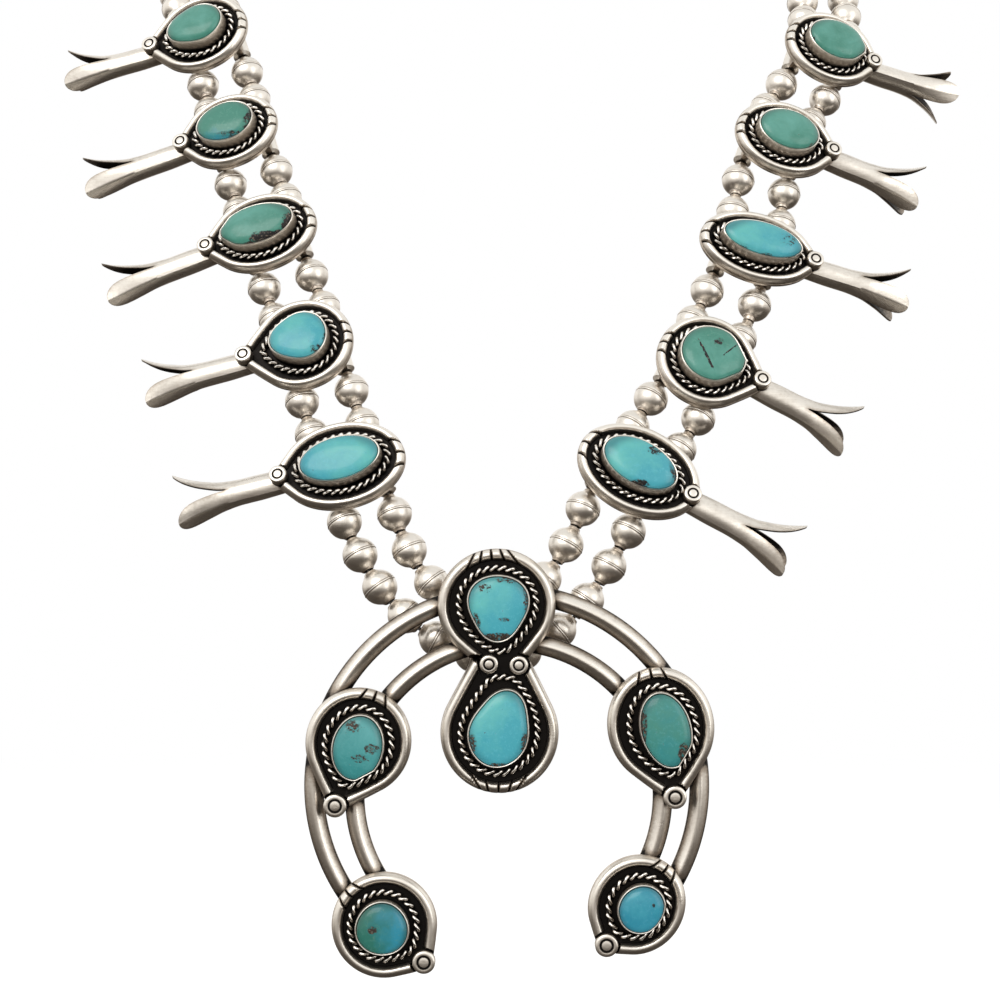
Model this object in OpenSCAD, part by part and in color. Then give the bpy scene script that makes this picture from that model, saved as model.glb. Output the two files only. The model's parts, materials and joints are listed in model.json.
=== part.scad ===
// Squash blossom necklace: a horseshoe drop, ten stone-set blossoms and two strings of round beads.
// It hangs in the form that it has when worn. The origin is the underside of the clasp, on the nape.
// +X is the wearer's left, which is the right of a front view, -Y is the front and +Z is up.

/* [Beads] */
// Diameter of a round bead
bead_d = 7.5; // [6.5:0.1:7.8]
// Least length of a bead from collar to collar, which sets how many beads a span holds
bead_len = 7.95; // [7.9:0.05:8.2]
// Diameter of a bead's collar
collar_d = 2.1; // [1.8:0.1:2.3]
// Least gap between the collars of two beads
bead_gap = 0.25; // [0.2:0.05:0.4]
// Diameter of the hole through a bead
bead_bore = 1.3; // [1.1:0.05:1.5]
// How far the solder seam round a bead's middle stands proud
seam_h = 0.06; // [0.04:0.01:0.12]
// Width of that seam
seam_w = 0.5; // [0.3:0.05:0.8]
// Diameter of the thread
thread_d = 0.8; // [0.6:0.05:1]

/* [Settings] */
// Thickness of a setting's back plate
plate_t = 0.9; // [0.7:0.05:1.2]
// Height of the rim wire's crown above the plate's back
rim_h = 2.5; // [2:0.1:3.2]
// Height of the rim wire's sides above the plate's back
rim_side = 1.45; // [1.2:0.05:1.9]
// Width of the rim wire on a blossom
rim_w = 2.1; // [1.6:0.1:2.4]
// Width of the rim wire on the horseshoe drop
drop_rim_w = 2.35; // [1.8:0.05:2.6]
// Bare floor between the rim and the rope wire
rope_gap = 0.5; // [0.3:0.05:0.8]
// Width of the rope wire
rope_w = 1.45; // [1:0.05:1.6]
// Height of the rope wire above the floor
rope_h = 1.25; // [0.8:0.05:1.5]
// Thickness of the bezel wall round a stone
bezel_t = 0.42; // [0.3:0.02:0.5]
// Height of the bezel above the plate's back
bezel_top = 5.2; // [3.6:0.1:5.8]
// Depth of a groove cut across the rim
notch_d = 0.6; // [0.3:0.05:0.8]
// Width of such a groove
notch_w = 0.7; // [0.4:0.05:1]

/* [Stones] */
// Clearance between a stone and its bezel
stone_fit = 0.08; // [0.05:0.01:0.15]
// Height of a stone's dome above the bezel
dome_h = 1.5; // [0.8:0.1:2.2]
// Height of the stone's seat above the plate's back
seat_h = 1.4; // [1.1:0.1:2]

/* [Blossoms] */
// Length of a blossom's plate, from the notched end to where the tip begins
disc_l = 25; // [24:0.5:27]
// Width of a blossom's plate
disc_w = 20; // [19.5:0.25:21]
// Length of the flower from the middle of the button to the petal tips
flower_l = 22.6; // [18:0.5:26]
// Radius of the flower across its petal tips
flower_r = 7; // [5.5:0.25:8]
// Radius of the flower's stem
stem_r = 2.6; // [2.2:0.05:2.8]
// Thickness of a petal
petal_t = 0.7; // [0.5:0.05:0.9]
// Diameter of a button
button_d = 3.9; // [3.2:0.1:4.4]
// Diameter of the four buttons at the drop's sides and ends
end_button_d = 4.8; // [4.2:0.1:5.2]
// Height of a button's face above the plate's back
button_h = 3.3; // [2.8:0.1:3.8]
// Depth of the ring stamped into a button
stamp_d = 0.25; // [0.15:0.05:0.4]

/* [Tubes behind the plates] */
// Diameter of the tube that carries a string
tube_d = 4.2; // [3.4:0.1:4.6]
// Diameter of its bore
tube_bore = 1.5; // [1.2:0.1:1.8]
// Length of a tube behind a blossom
tube_l = 13; // [12:0.2:13.2]
// Length of a ring behind the horseshoe drop
ring_l = 2.2; // [1.6:0.2:3]
// How far the first joint of a string is from the end of a tube
tube_clear = 0.4; // [0.35:0.05:0.6]
// Clearance between a bead and what is in front of it
bead_clear = 0.35; // [0.2:0.05:0.8]

/* [Horseshoe drop] */
// Middle radius of the outer band
outer_r = 40.3; // [39:0.1:41.5]
// Middle radius of the inner band
inner_r = 32.2; // [31:0.1:33.5]
// Width of a band
band_w = 4.1; // [3.4:0.1:4.4]
// Thickness of a band
band_t = 2.8; // [2.2:0.1:3.2]
// How far the bands are let into the backs of the plates
band_in = 0.7; // [0.4:0.05:0.8]
// Length of a setting on the drop that has a share of 1
drop_set_l = 22; // [21:0.25:23]
// Width of a setting on the drop that has a share of 1
drop_set_w = 22; // [21:0.25:23]

/* [Clasp] */
// Length of the clasp along the neck
clasp_l = 20; // [14:1:28]
// Thickness of the clasp
clasp_t = 5; // [4:0.25:6.5]
// Distance between the two strings at the clasp
clasp_pitch = 8.4; // [8.2:0.1:10]
// Metal beside the outermost socket
clasp_edge = 3.2; // [2.2:0.2:5]
// Depth of a thread's socket
socket_l = 4; // [2.5:0.5:6]

/* [Form when worn] */
// How far the middle of a top blossom is from the middle of the chest
row_w = 75; // [72:0.5:79]
// Height of a top blossom above the drop's upper ring
row_h = 133.9; // [133.9:0.5:138.9]
// How far back the nape is from the drop's upper ring
nape_y = 173; // [165:1:181]
// Height of the nape above the drop's upper ring
nape_z = 207; // [199:1:215]
// How much the chest leans back towards the shoulders
chest_lean = 0.5; // [0.45:0.01:0.55]
// Radius of the chest from side to side
chest_r = 220; // [200:5:250]

/* [Hidden] */

silver = "#cdc3b4";
LEFT = -1;
RIGHT = 1;
INNER = 0;
OUTER = 1;

// Points round a setting, how far its two sides bow out as a share of their distance, and the steps of
// a curve between two points of a string
SECTORS = 24;
SIDE_BOW = 0.008;
ROUTE_STEPS = 8;

// Soft edge of a button, its stamped ring as shares of its diameter, and the well round it
BUTTON_EDGE = 0.3;
STAMP_RING = [0.42, 0.62];
WELL_GAP = 0.35;

// Cut of the groove across the waist of the drop: its depth below the rim's crown and half its width
WAIST_GROOVE = [1.6, 1.1];

// Height over which the chest turns from upright, under the drop, to its lean
chest_bend = 20;

// Where a groove across the rim starts and how long it is, in widths of the rim, and how far above the
// crown it is open
NOTCH_ALONG = [1.2, 1.6];
NOTCH_OVER = 0.5;

// Rows of a stone's dome: shares of its outline and of the dome's height
DOME = [[0.86, 0.62], [0.5, 0.95]];

// A band's section: share of its thickness at its sides, half width of its ridge and the ridge's fall
BAND_FORM = [0.4, 0.4, 0.1];

// The sizes that the tables below are drawn for. What they place moves with row_w, row_h, nape_y,
// nape_z and outer_r.
ROW_DRAWN = [75, 133.9];
NAPE_DRAWN = [173, 207];
OUTER_DRAWN = 40.3;

// Places of the blossoms, from the top of a side down to the drop. The lengths are shares: those of
// the plate are of disc_l and disc_w, the button's place is of the plate's half length, and those of
// the stone are of the room inside the rope wire.
SIDE = 0; AT_X = 1; AT_H = 2; DROOP = 3; LONG = 4; WIDE = 5; AT_BUTTON = 6;
ST_L = 7; ST_W = 8; ST_X = 9; ST_EGG = 10; ST_TRI = 11; ST_TURN = 12;
FL_TURN = 13; FL_ROLL = 14; FL_LONG = 15; TUBES = 16;
BLOSSOMS = [
    [LEFT, -71.8, 133.9, 15, 0.92, 1.05, 1.1, 1, 0.92, 0.04, -0.07, 0.04, 5, 1, 12, 0.97, 12],
    [LEFT, -63.4, 108.4, 17, 0.91, 0.98, 1.03, 1, 0.97, -0.01, 0, 0.02, 0, -3, 12, 1.08, 7],
    [LEFT, -54.5, 83.2, 17, 1, 0.99, 1.06, 1, 0.9, 0.03, 0, 0, 0, -5, 12, 1.09, 7],
    [LEFT, -44.5, 57, 14, 0.9, 1.1, 1.17, 1, 0.97, 0.05, -0.11, 0.05, 0, -2, 9, 1.02, 9],
    [LEFT, -35, 30.5, 12, 1.09, 1, 1.02, 0.94, 0.88, 0, 0, 0, 3, -3, 6, 1.01, 12],
    [RIGHT, 75, 130.2, 20, 0.9, 1, 0.96, 1, 0.98, 0.04, -0.03, 0, 0, 3, 30, 0.95, -6],
    [RIGHT, 62.4, 106.4, 17, 0.94, 0.99, 0.99, 0.99, 0.98, 0, -0.02, 0, 0, -6, 2, 1, -10],
    [RIGHT, 54.7, 79.6, 16, 1.07, 0.9, 0.99, 1, 0.94, 0.01, 0, 0, 0, -2, 12, 1.01, -9],
    [RIGHT, 42.2, 53.2, 24, 0.89, 1.12, 1.14, 1, 0.98, 0.05, 0, 0.01, 4, -6, -10, 1, -7],
    [RIGHT, 26.9, 29.3, 29, 1.1, 1, 0.91, 0.94, 0.93, 0, -0.04, 0, -3, -1, -2, 1.09, -5]];

// Places of the settings on the drop, from its middle, and the way that their tips point. The
// lengths are shares of drop_set_l and drop_set_w, and a stone's offsets are of the half length.
CX = 0; CY = 1; POINT = 2; DL = 3; DW = 4; DB = 5; DS_L = 6; DS_W = 7; DS_X = 8; DS_Y = 9;
DS_EGG = 10; DS_TRI = 11; DS_TURN = 12; NOTCHES = 13; BUTTON = 14;
DROP_SETS = [
    [-2.8, 38.7, -84, 1.07, 1.12, 1.27, 0.99, 0.9, 0.06, 0.02, -0.08, 0.07, -8, 5, 0],
    [-2.2, 12.1, 89, 1.14, 1.12, 1.93, 0.97, 0.88, 0.14, -0.02, -0.11, 0.05, -16, 5, 0],
    [-31.6, 10.2, -110, 1.03, 1, 1.23, 0.9, 0.81, 0.07, 0.03, 0, 0, 8, 3, 1],
    [31.4, 13.5, -79, 1.12, 1.01, 1.21, 0.94, 0.81, 0.08, 0.06, -0.04, 0, 4, 3, 1],
    [-26.2, -27.9, -42, 1, 1, 1.01, 0.88, 0.86, -0.01, -0.03, 0, 0.02, 10, 3, 1],
    [26.4, -23.7, -128, 0.97, 0.9, 0.97, 0.86, 0.88, -0.02, 0.08, 0, 0, 0, 3, 1]];

// Middles of the outer and the inner band, the line where the two upper settings meet, and the two
// buttons beside it
BAND_AT = [[-0.7, 0.8], [-0.3, -1.2]];
WAIST_Y = 27.7;
WAIST_BUTTONS = [[-4.4, 26.5], [1.8, 26.3]];

// How far a plate's tip is past the middle of its button, and the angle between 3 or 5 grooves
TIP_PAST = 2.1;
NOTCH_STEP = [0, 0, 0, 14, 0, 12];

// Where a string lies behind a blossom, from the middle of its plate along the stem, in shares of
// disc_l, where it passes behind the drop, from the middle of its upper ring, and how far that middle
// is inside the outer band
STRING_X = [-0.27, 0.18];
DROP_RING = [[-4.5, 0.3], [-2.5, -8.9]];
RING_INSIDE = 4.7;

// How the strings run from the lowest blossom to the drop: pull at each end and slope at the drop
DROP_PULL = [[[0.3, 1.4, 14], [1.2, 1.2, 12]], [[0.3, 1.2, 16], [0.6, 1.2, 12]]];

// Chosen points of the strings round the shoulder and the neck, the same on both sides: the inner
// string's first, then the outer's
BACK_ROUTE = [
    [[72, 87, 152], [74, 105, 170], [69, 126, 186], [57, 145, 197], [39, 160, 204], [20, 167, 207]],
    [[83, 90, 150], [85.5, 110, 168], [79, 132, 184.5], [65, 152, 196], [44.5, 168, 203.5],
        [22, 175.5, 207]]];

// Least floor between the rope wire and the foot of a bezel
foot_gap = 0.06;
string_back = bead_d / 2 + bead_clear;
drop_back = string_back + band_t - band_in;
drop_below = outer_r - RING_INSIDE;
drop_rise = outer_r - OUTER_DRAWN;
seam_d = bead_d + 2 * seam_h;
tube_web = tube_d / 3;

function unit(v) = v / norm(v);
function total(list) = [for (i = 0, s = 0; i <= len(list);
    s = s + (i < len(list) ? list[i] : 0), i = i + 1) s];

// The chest's surface at the strings' middle, and its slopes
function chest_y(x, h) = chest_lean * (sqrt(h * h + chest_bend * chest_bend) - chest_bend)
    + x * x / (2 * chest_r);
function slope_h(h) = chest_lean * h / sqrt(h * h + chest_bend * chest_bend);

// Where a blossom is on the chest, and the three directions and the middle of its plate, which lies
// flat on the strings
function at_x(b) = b[AT_X] * row_w / ROW_DRAWN[0];
function at_h(b) = b[AT_H] * row_h / ROW_DRAWN[1];
function face_dir(b) = unit([at_x(b) / chest_r, -1, slope_h(at_h(b))]);
function out_dir(b) = unit([1, at_x(b) / chest_r, 0]) * b[SIDE];
function up_dir(b) = cross(face_dir(b), out_dir(b)) * b[SIDE];
function stem_dir(b) = cos(b[DROOP]) * out_dir(b) - sin(b[DROOP]) * up_dir(b);
function across_dir(b) = cross(face_dir(b), stem_dir(b));
function plate_at(b) = [at_x(b), chest_y(at_x(b), at_h(b)), at_h(b)] + string_back * face_dir(b);
function on_blossom(b, p) = plate_at(b) + p[0] * stem_dir(b) + p[1] * across_dir(b) + p[2] * face_dir(b);
function down_dir(b) = b[SIDE] * (sin(b[TUBES]) * stem_dir(b) - cos(b[TUBES]) * across_dir(b));

module worn() translate([0, -nape_y, -nape_z + clasp_t / 2]) children();

module at_blossom(b) {
    s = stem_dir(b);
    a = across_dir(b);
    f = face_dir(b);
    c = plate_at(b);
    worn() multmatrix([[s[0], a[0], f[0], c[0]], [s[1], a[1], f[1], c[1]], [s[2], a[2], f[2], c[2]]])
        children();
}

// The middle of a setting on the drop: the two upper ones rise with the outer band, and the others
// move out along it
function set_x(d) = d[BUTTON] == 1 ? d[CX] * outer_r / OUTER_DRAWN : d[CX];
function set_y(d) = d[BUTTON] == 1 ? d[CY] * outer_r / OUTER_DRAWN : d[CY] + drop_rise;

module at_drop() worn() translate([0, -drop_back, -drop_below]) rotate([90, 0, 0]) children();
module at_setting(d) at_drop() in_setting(d) children();
module in_setting(d) translate([set_x(d), set_y(d), 0]) rotate(d[POINT]) children();

// Radius of a drop-shaped outline at an angle: an ellipse with two nearly straight sides to its tip
function tangent_x(a, t) = a * a / t;
function tangent_y(a, b, t) = b * sqrt(1 - a * a / (t * t));
function tip_angle(a, b, t) = atan2(tangent_y(a, b, t), t - tangent_x(a, t));
function side_end(a, b, t) = atan2(tangent_y(a, b, t), tangent_x(a, t));
function turned(angle) = angle > 180 ? 360 - angle : angle;
function drop_radius(a, b, t, angle) =
    turned(angle) < side_end(a, b, t)
        ? t * sin(tip_angle(a, b, t)) / sin(tip_angle(a, b, t) + turned(angle))
            * (1 + SIDE_BOW * sin(180 * turned(angle) / side_end(a, b, t)))
        : a * b / norm([b * cos(angle), a * sin(angle)]);

// A closed loop round a setting: the plate's outline, moved inwards
function plate_loop(a, b, t, inset, z) = [for (i = [0:SECTORS - 1]) let (
        angle = 360 * i / SECTORS,
        r = drop_radius(a - inset, b - inset, t - inset / sin(tip_angle(a, b, t)), angle))
    [r * cos(angle), r * sin(angle), z]];

// A closed loop round a stone, moved outwards: an ellipse made a little egg-shaped or three-cornered.
// Where it would reach the rope wire it follows the wire instead.
function kept_in(q, p, away) = q * min(1, (drop_radius(p[0], p[1], p[2], atan2(abs(q[1]), q[0])) - away)
    / norm(q));
function stone_loop(st, grow, z) = [for (i = [0:SECTORS - 1]) let (
        angle = 360 * i / SECTORS,
        own = angle - st[4],
        form = (1 + st[2] * cos(own) + st[3] * cos(3 * own)) / (1 + abs(st[2]) + abs(st[3])),
        r = st[0] * st[1] / norm([st[1] * cos(own), st[0] * sin(own)]) * form + grow,
        q = kept_in([st[5] + r * cos(angle), st[6] + r * sin(angle)], st[7], bezel_t + stone_fit - grow))
    [q[0], q[1], z]];

// A solid made of loops of points, one above the other
module lofted(loops) {
    n = SECTORS;
    m = len(loops);
    sides = [for (j = [0:m - 2], i = [0:n - 1])
        [j * n + i, (j + 1) * n + i, (j + 1) * n + (i + 1) % n, j * n + (i + 1) % n]];
    polyhedron([for (loop = loops, p = loop) p],
        concat(sides, [[for (i = [0:n - 1]) i]], [[for (i = [n - 1:-1:0]) (m - 1) * n + i]]), convexity = 8);
}

// Half length, half width and tip of a plate, whose tip is just past its button
function plate_of(a, b, at_button) = [a, b, at_button * a + TIP_PAST];
function blossom_plate(b) = plate_of(b[LONG] * disc_l / 2, b[WIDE] * disc_w / 2, b[AT_BUTTON]);
function drop_plate(d) = plate_of(d[DL] * drop_set_l / 2, d[DW] * drop_set_w / 2, d[DB]);

// The outline inside the rope wire, and what it leaves for a stone on each side of the middle. A stone
// set off towards the tip may be longer by as much again, as the plate is longer there.
function inside_rope(p, rim) = let (m = rim + rope_gap + rope_w + foot_gap)
    [p[0] - m, p[1] - m, p[2] - m / sin(tip_angle(p[0], p[1], p[2]))];
function stone_in(p, rim, long, wide, dx, dy, egg, tri, turn) = let (
        in = inside_rope(p, rim),
        wall = bezel_t + stone_fit)
    [long * (in[0] - wall + dx * p[0]), wide * (in[1] - wall), egg, tri, turn, dx * p[0], dy * p[0], in];
function blossom_stone(b) = stone_in(blossom_plate(b), rim_w, b[ST_L], b[ST_W], b[ST_X], 0,
    b[ST_EGG], b[ST_TRI], b[ST_TURN]);
function drop_stone(d) = stone_in(drop_plate(d), drop_rim_w, d[DS_L], d[DS_W], d[DS_X], d[DS_Y],
    d[DS_EGG], d[DS_TRI], d[DS_TURN]);

// Plate, rim wire, rope wire and bezel in one closed section, from the plate's back to the seat
module setting_body(p, st, rim) {
    rope = rim + rope_gap;
    wall = bezel_t + stone_fit;
    plate_rows = [[0, 0], [0, rim_side], [rim / 2, rim_h], [rim, rim_side], [rim, plate_t], [rope, plate_t],
        [rope + rope_w * 0.25, plate_t + rope_h], [rope + rope_w * 0.75, plate_t + rope_h],
        [rope + rope_w, plate_t]];
    stone_rows = [[wall, plate_t], [wall, bezel_top], [stone_fit, bezel_top], [stone_fit, seat_h]];
    lofted(concat(
        [for (r = plate_rows) plate_loop(p[0], p[1], p[2], r[0], r[1])],
        [for (r = stone_rows) stone_loop(st, r[0], r[1])]));
}

// A groove across the rim, from the outside in, at an angle round the plate
module notch(p, angle, rim) {
    r = drop_radius(p[0], p[1], p[2], angle);
    rotate(angle) translate([r - rim * NOTCH_ALONG[0], 0, rim_h]) rotate([0, 90, 0])
        linear_extrude(rim * NOTCH_ALONG[1])
            polygon([[notch_d, 0], [-NOTCH_OVER, notch_w], [-NOTCH_OVER, -notch_w]]);
}

// The grooves at the end away from the tip
module notches(p, count, rim) {
    for (k = [0:count - 1]) notch(p, 180 + (k - (count - 1) / 2) * NOTCH_STEP[count], rim);
}

// The well round a button, and the button with its stamped ring
module button_well(d = button_d)
    translate([0, 0, plate_t]) cylinder(h = rim_h, d = d + 2 * WELL_GAP, $fn = 48);
module button(d = button_d) {
    side = button_h - BUTTON_EDGE;
    difference() {
        union() {
            translate([0, 0, plate_t / 2]) cylinder(h = side - plate_t / 2, d = d, $fn = 48);
            translate([0, 0, side])
                cylinder(h = BUTTON_EDGE, d1 = d, d2 = d - 2 * BUTTON_EDGE, $fn = 48);
        }
        translate([0, 0, button_h - stamp_d]) difference() {
            cylinder(h = 1, d = d * STAMP_RING[1], $fn = 48);
            translate([0, 0, -0.5]) cylinder(h = 2, d = d * STAMP_RING[0], $fn = 48);
        }
    }
}

// A tube behind a plate, bored for a string, with the web that it is soldered by
module string_tube(length, back) {
    difference() {
        union() {
            translate([0, 0, -back]) rotate([90, 0, 0])
                cylinder(h = length, d = tube_d, center = true, $fn = 48);
            translate([-tube_web / 2, -length / 2, -back]) cube([tube_web, length, back + plate_t / 3]);
        }
        translate([0, 0, -back]) rotate([90, 0, 0])
            cylinder(h = length + 1, d = tube_bore, center = true, $fn = 32);
    }
}

// The flower: shares of its length, and its outer radius in shares of stem_r and of flower_r
FLOWER = [[-0.13, 0.86, 0], [0.2, 1, 0], [0.42, 1, 0], [0.6, 0.85, 0.12], [0.78, 0.45, 0.46],
    [0.9, 0.2, 0.73], [1, 0, 1]];
// The gap between two petals: shares of the flower's length and half widths in shares of flower_r
PETAL_GAP = [[0.52, 0], [0.66, 0.07], [0.79, 0.19], [0.88, 0.36], [0.95, 0.6], [1.02, 0.95]];
// The share of the flower that is solid, and how far its axis is behind the plate's back
FLOWER_SOLID = 0.38;
STEM_DROP = 1.7;

function flower_radius(row) = row[1] * stem_r + row[2] * flower_r;

module flower(long) {
    outer = [for (f = FLOWER) [flower_radius(f), f[0] * long]];
    hollow = [for (f = FLOWER) if (f[0] > FLOWER_SOLID) [flower_radius(f) - petal_t, f[0] * long]];
    first = hollow[0];
    last = hollow[len(hollow) - 1];
    profile = concat([[0, outer[0][1]]], outer, [for (i = [len(hollow) - 1:-1:0]) hollow[i]],
        [[0, first[1] - first[0]]]);
    gap = [for (g = PETAL_GAP) [g[0] * long, g[1] * flower_r]];
    back = [for (i = [len(gap) - 1:-1:1]) [gap[i][0], -gap[i][1]]];
    difference() {
        rotate([0, 90, 0]) rotate_extrude($fn = 64) polygon(profile);
        for (k = [0:2]) rotate([k * 120, 0, 0]) linear_extrude(flower_r * 2) polygon(concat(gap, back));
    }
}

module blossom(b) {
    p = blossom_plate(b);
    at_button = p[2] - TIP_PAST;
    lift = -b[SIDE];
    color(silver) at_blossom(b) {
        difference() {
            setting_body(p, blossom_stone(b), rim_w);
            notches(p, 3, rim_w);
            translate([at_button, 0, 0]) button_well();
        }
        translate([at_button, 0, 0]) button();
        translate([at_button, 0, -STEM_DROP]) rotate([0, 0, -lift * b[FL_TURN]])
            rotate([lift * b[FL_ROLL], 0, 0]) flower(b[FL_LONG] * flower_l);
        for (x = STRING_X) translate([x * disc_l, 0, 0]) rotate(b[TUBES]) string_tube(tube_l, string_back);
    }
}

// A stone: straight sides in the bezel and a low dome above it
module stone(st) {
    centre = [st[5], st[6], 0];
    rows = concat([[1, seat_h + stone_fit], [1, bezel_top - 0.05]],
        [for (r = DOME) [r[0], bezel_top + dome_h * r[1]]]);
    loops = [for (r = rows) [for (q = stone_loop(st, 0, r[1]))
        [centre[0] + (q[0] - centre[0]) * r[0], centre[1] + (q[1] - centre[1]) * r[0], q[2]]]];
    lofted(loops);
}

module blossom_stone_piece(b) color("#5cb5bd") at_blossom(b) stone(blossom_stone(b));
module drop_stone_piece(d) color("#4aa6b4") at_setting(d) stone(drop_stone(d));

// One horseshoe band, from the right end setting over the top to the left one
module band(r, c) {
    right = DROP_SETS[5];
    left = DROP_SETS[4];
    first = atan2(set_y(right) - c[1], set_x(right) - c[0]);
    last = 360 + atan2(set_y(left) - c[1], set_x(left) - c[0]);
    half = band_w / 2;
    low = band_in - band_t;
    side = low + band_t * BAND_FORM[0];
    ridge = [half * BAND_FORM[1], band_in - band_t * BAND_FORM[2]];
    translate(c) rotate(first) rotate_extrude(angle = last - first, $fn = 180) translate([r, 0])
        polygon([[-half, low], [half, low], [half, side], ridge, [0, band_in], [-ridge[0], ridge[1]],
            [-half, side]]);
}

module drop_setting(d) {
    p = drop_plate(d);
    in_setting(d) {
        difference() {
            setting_body(p, drop_stone(d), drop_rim_w);
            notches(p, d[NOTCHES], drop_rim_w);
            if (d[BUTTON] == 1) translate([p[2] - TIP_PAST, 0, 0]) button_well(end_button_d);
        }
        if (d[BUTTON] == 1) translate([p[2] - TIP_PAST, 0, 0]) button(end_button_d);
    }
}

module naja() {
    big = outer_r * 3;
    tall = bezel_top * 2;
    waist = WAIST_Y + drop_rise;
    buttons = [for (c = WAIST_BUTTONS) [c[0], c[1] + drop_rise, 0]];
    color(silver) at_drop() {
        band(outer_r, BAND_AT[0]);
        band(inner_r, BAND_AT[1]);
        for (i = [2:5]) drop_setting(DROP_SETS[i]);
        difference() {
            union() {
                intersection() {
                    drop_setting(DROP_SETS[0]);
                    translate([-big / 2, waist, -1]) cube([big, big, tall]);
                }
                intersection() {
                    drop_setting(DROP_SETS[1]);
                    translate([-big / 2, waist - big, -1]) cube([big, big, tall]);
                }
            }
            translate([-big / 2, waist, rim_h]) rotate([90, 0, 90]) linear_extrude(big)
                polygon([[0, -WAIST_GROOVE[0]], [WAIST_GROOVE[1], 0.5], [-WAIST_GROOVE[1], 0.5]]);
            for (c = buttons) translate(c) button_well();
        }
        for (c = buttons) translate(c) button();
        for (c = DROP_RING) translate([c[0], drop_below + c[1], 0]) rotate(90) string_tube(ring_l, drop_back);
    }
}

// A smooth curve between two points with a direction at each, without its last point
function curve(p, q, dp, dq) = [for (k = [0:ROUTE_STEPS - 1]) let (u = k / ROUTE_STEPS, v = 1 - u)
    v * v * (1 + 2 * u) * p + u * v * v * dp + u * u * (3 - 2 * u) * q - u * u * v * dq];

// A span of string between two holders, from just clear of one tube to just clear of the next
span_from = tube_l / 2 + tube_clear;
function blossom_span(i, j) = let (
        b = BLOSSOMS[i], c = BLOSSOMS[i + 1],
        p = on_blossom(b, [STRING_X[j] * disc_l, 0, -string_back]) + down_dir(b) * span_from,
        q = on_blossom(c, [STRING_X[j] * disc_l, 0, -string_back]) - down_dir(c) * span_from,
        far = norm(q - p))
    concat(curve(p, q, down_dir(b) * far, down_dir(c) * far), [q]);
function drop_span(side, j) = let (
        k = side == LEFT ? 0 : 1,
        b = BLOSSOMS[k * 5 + 4],
        pull = DROP_PULL[k][j],
        p = on_blossom(b, [STRING_X[j] * disc_l, 0, -string_back]) + down_dir(b) * span_from,
        q = [DROP_RING[j][0] + side * (ring_l / 2 + tube_clear), 0, DROP_RING[j][1]],
        far = norm(q - p),
        reach = [-side * cos(pull[2]), 0, -sin(pull[2])] * far * pull[1])
    concat(curve(p, q, down_dir(b) * far * pull[0], reach), [q]);
function back_span(side, j) = let (
        b = BLOSSOMS[side == LEFT ? 0 : 5],
        p = on_blossom(b, [STRING_X[j] * disc_l, 0, -string_back]) - down_dir(b) * span_from,
        end = [side * (clasp_l / 2 + tube_clear), nape_y + (j == INNER ? -1 : 1) * clasp_pitch / 2, nape_z],
        scale = [side * row_w / ROW_DRAWN[0], nape_y / NAPE_DRAWN[0], nape_z / NAPE_DRAWN[1]],
        pts = concat([p], [for (r = BACK_ROUTE[j]) [for (i = [0:2]) r[i] * scale[i]]], [end]),
        n = len(pts),
        dirs = [for (i = [0:n - 1]) i == 0 ? -down_dir(b) * norm(pts[1] - p)
            : i == n - 1 ? [-side, 0, 0] * norm(pts[n - 1] - pts[n - 2]) : (pts[i + 1] - pts[i - 1]) / 2])
    concat([for (i = [0:n - 2]) each curve(pts[i], pts[i + 1], dirs[i], dirs[i + 1])], [end]);

// The joints between the beads on a span, evenly spread, with both ends of the span
function joints(path) = let (
        at = total([for (i = [0:len(path) - 2]) norm(path[i + 1] - path[i])]),
        whole = at[len(at) - 1],
        count = floor(whole / (bead_len + bead_gap)))
    [for (k = [0:count]) [for (axis = [0:2])
        lookup(whole * k / count, [for (i = [0:len(path) - 1]) [at[i], path[i][axis]]])]];

function side_spans(side, j) = concat(
    [joints(back_span(side, j))],
    [for (i = [0:3]) joints(blossom_span((side == LEFT ? 0 : 5) + i, j))],
    [joints(drop_span(side, j))]);

module bead(length) difference() {
    union() {
        sphere(d = bead_d, $fn = 64);
        cylinder(h = length, d = collar_d, center = true, $fn = 32);
        cylinder(h = seam_w, d = seam_d, center = true, $fn = 64);
    }
    cylinder(h = length + 1, d = bead_bore, center = true, $fn = 24);
}

// The length that a collar gives up where the string bends
function cut_back(span, k) = k == 0 || k == len(span) - 1 ? 0 : let (
        d = unit(span[k] - span[k - 1]),
        e = unit(span[k + 1] - span[k]))
    collar_d / 2 * tan(acos(d * e) / 2);

module bead_between(p, q, less) {
    d = q - p;
    translate((p + q) / 2) rotate([0, acos(d[2] / norm(d)), atan2(d[1], d[0])])
        bead(norm(d) - bead_gap - less);
}

module beads(side, j) color("#bfb6a8") worn()
    for (span = side_spans(side, j), k = [0:len(span) - 2])
        bead_between(span[k], span[k + 1], cut_back(span, k) + cut_back(span, k + 1));

// The thread follows the joints from socket to socket, straight through each bead, tube and ring
function reversed(list) = [for (i = [len(list) - 1:-1:0]) list[i]];
function half_thread(side, j) = let (s = side_spans(side, j))
    concat([s[0][len(s[0]) - 1] + [-side * (socket_l - 1), 0, 0]], reversed(s[0]),
        [for (i = [1:5]) each s[i]]);
function thread_route(j) = concat(half_thread(LEFT, j), reversed(half_thread(RIGHT, j)));

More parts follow.
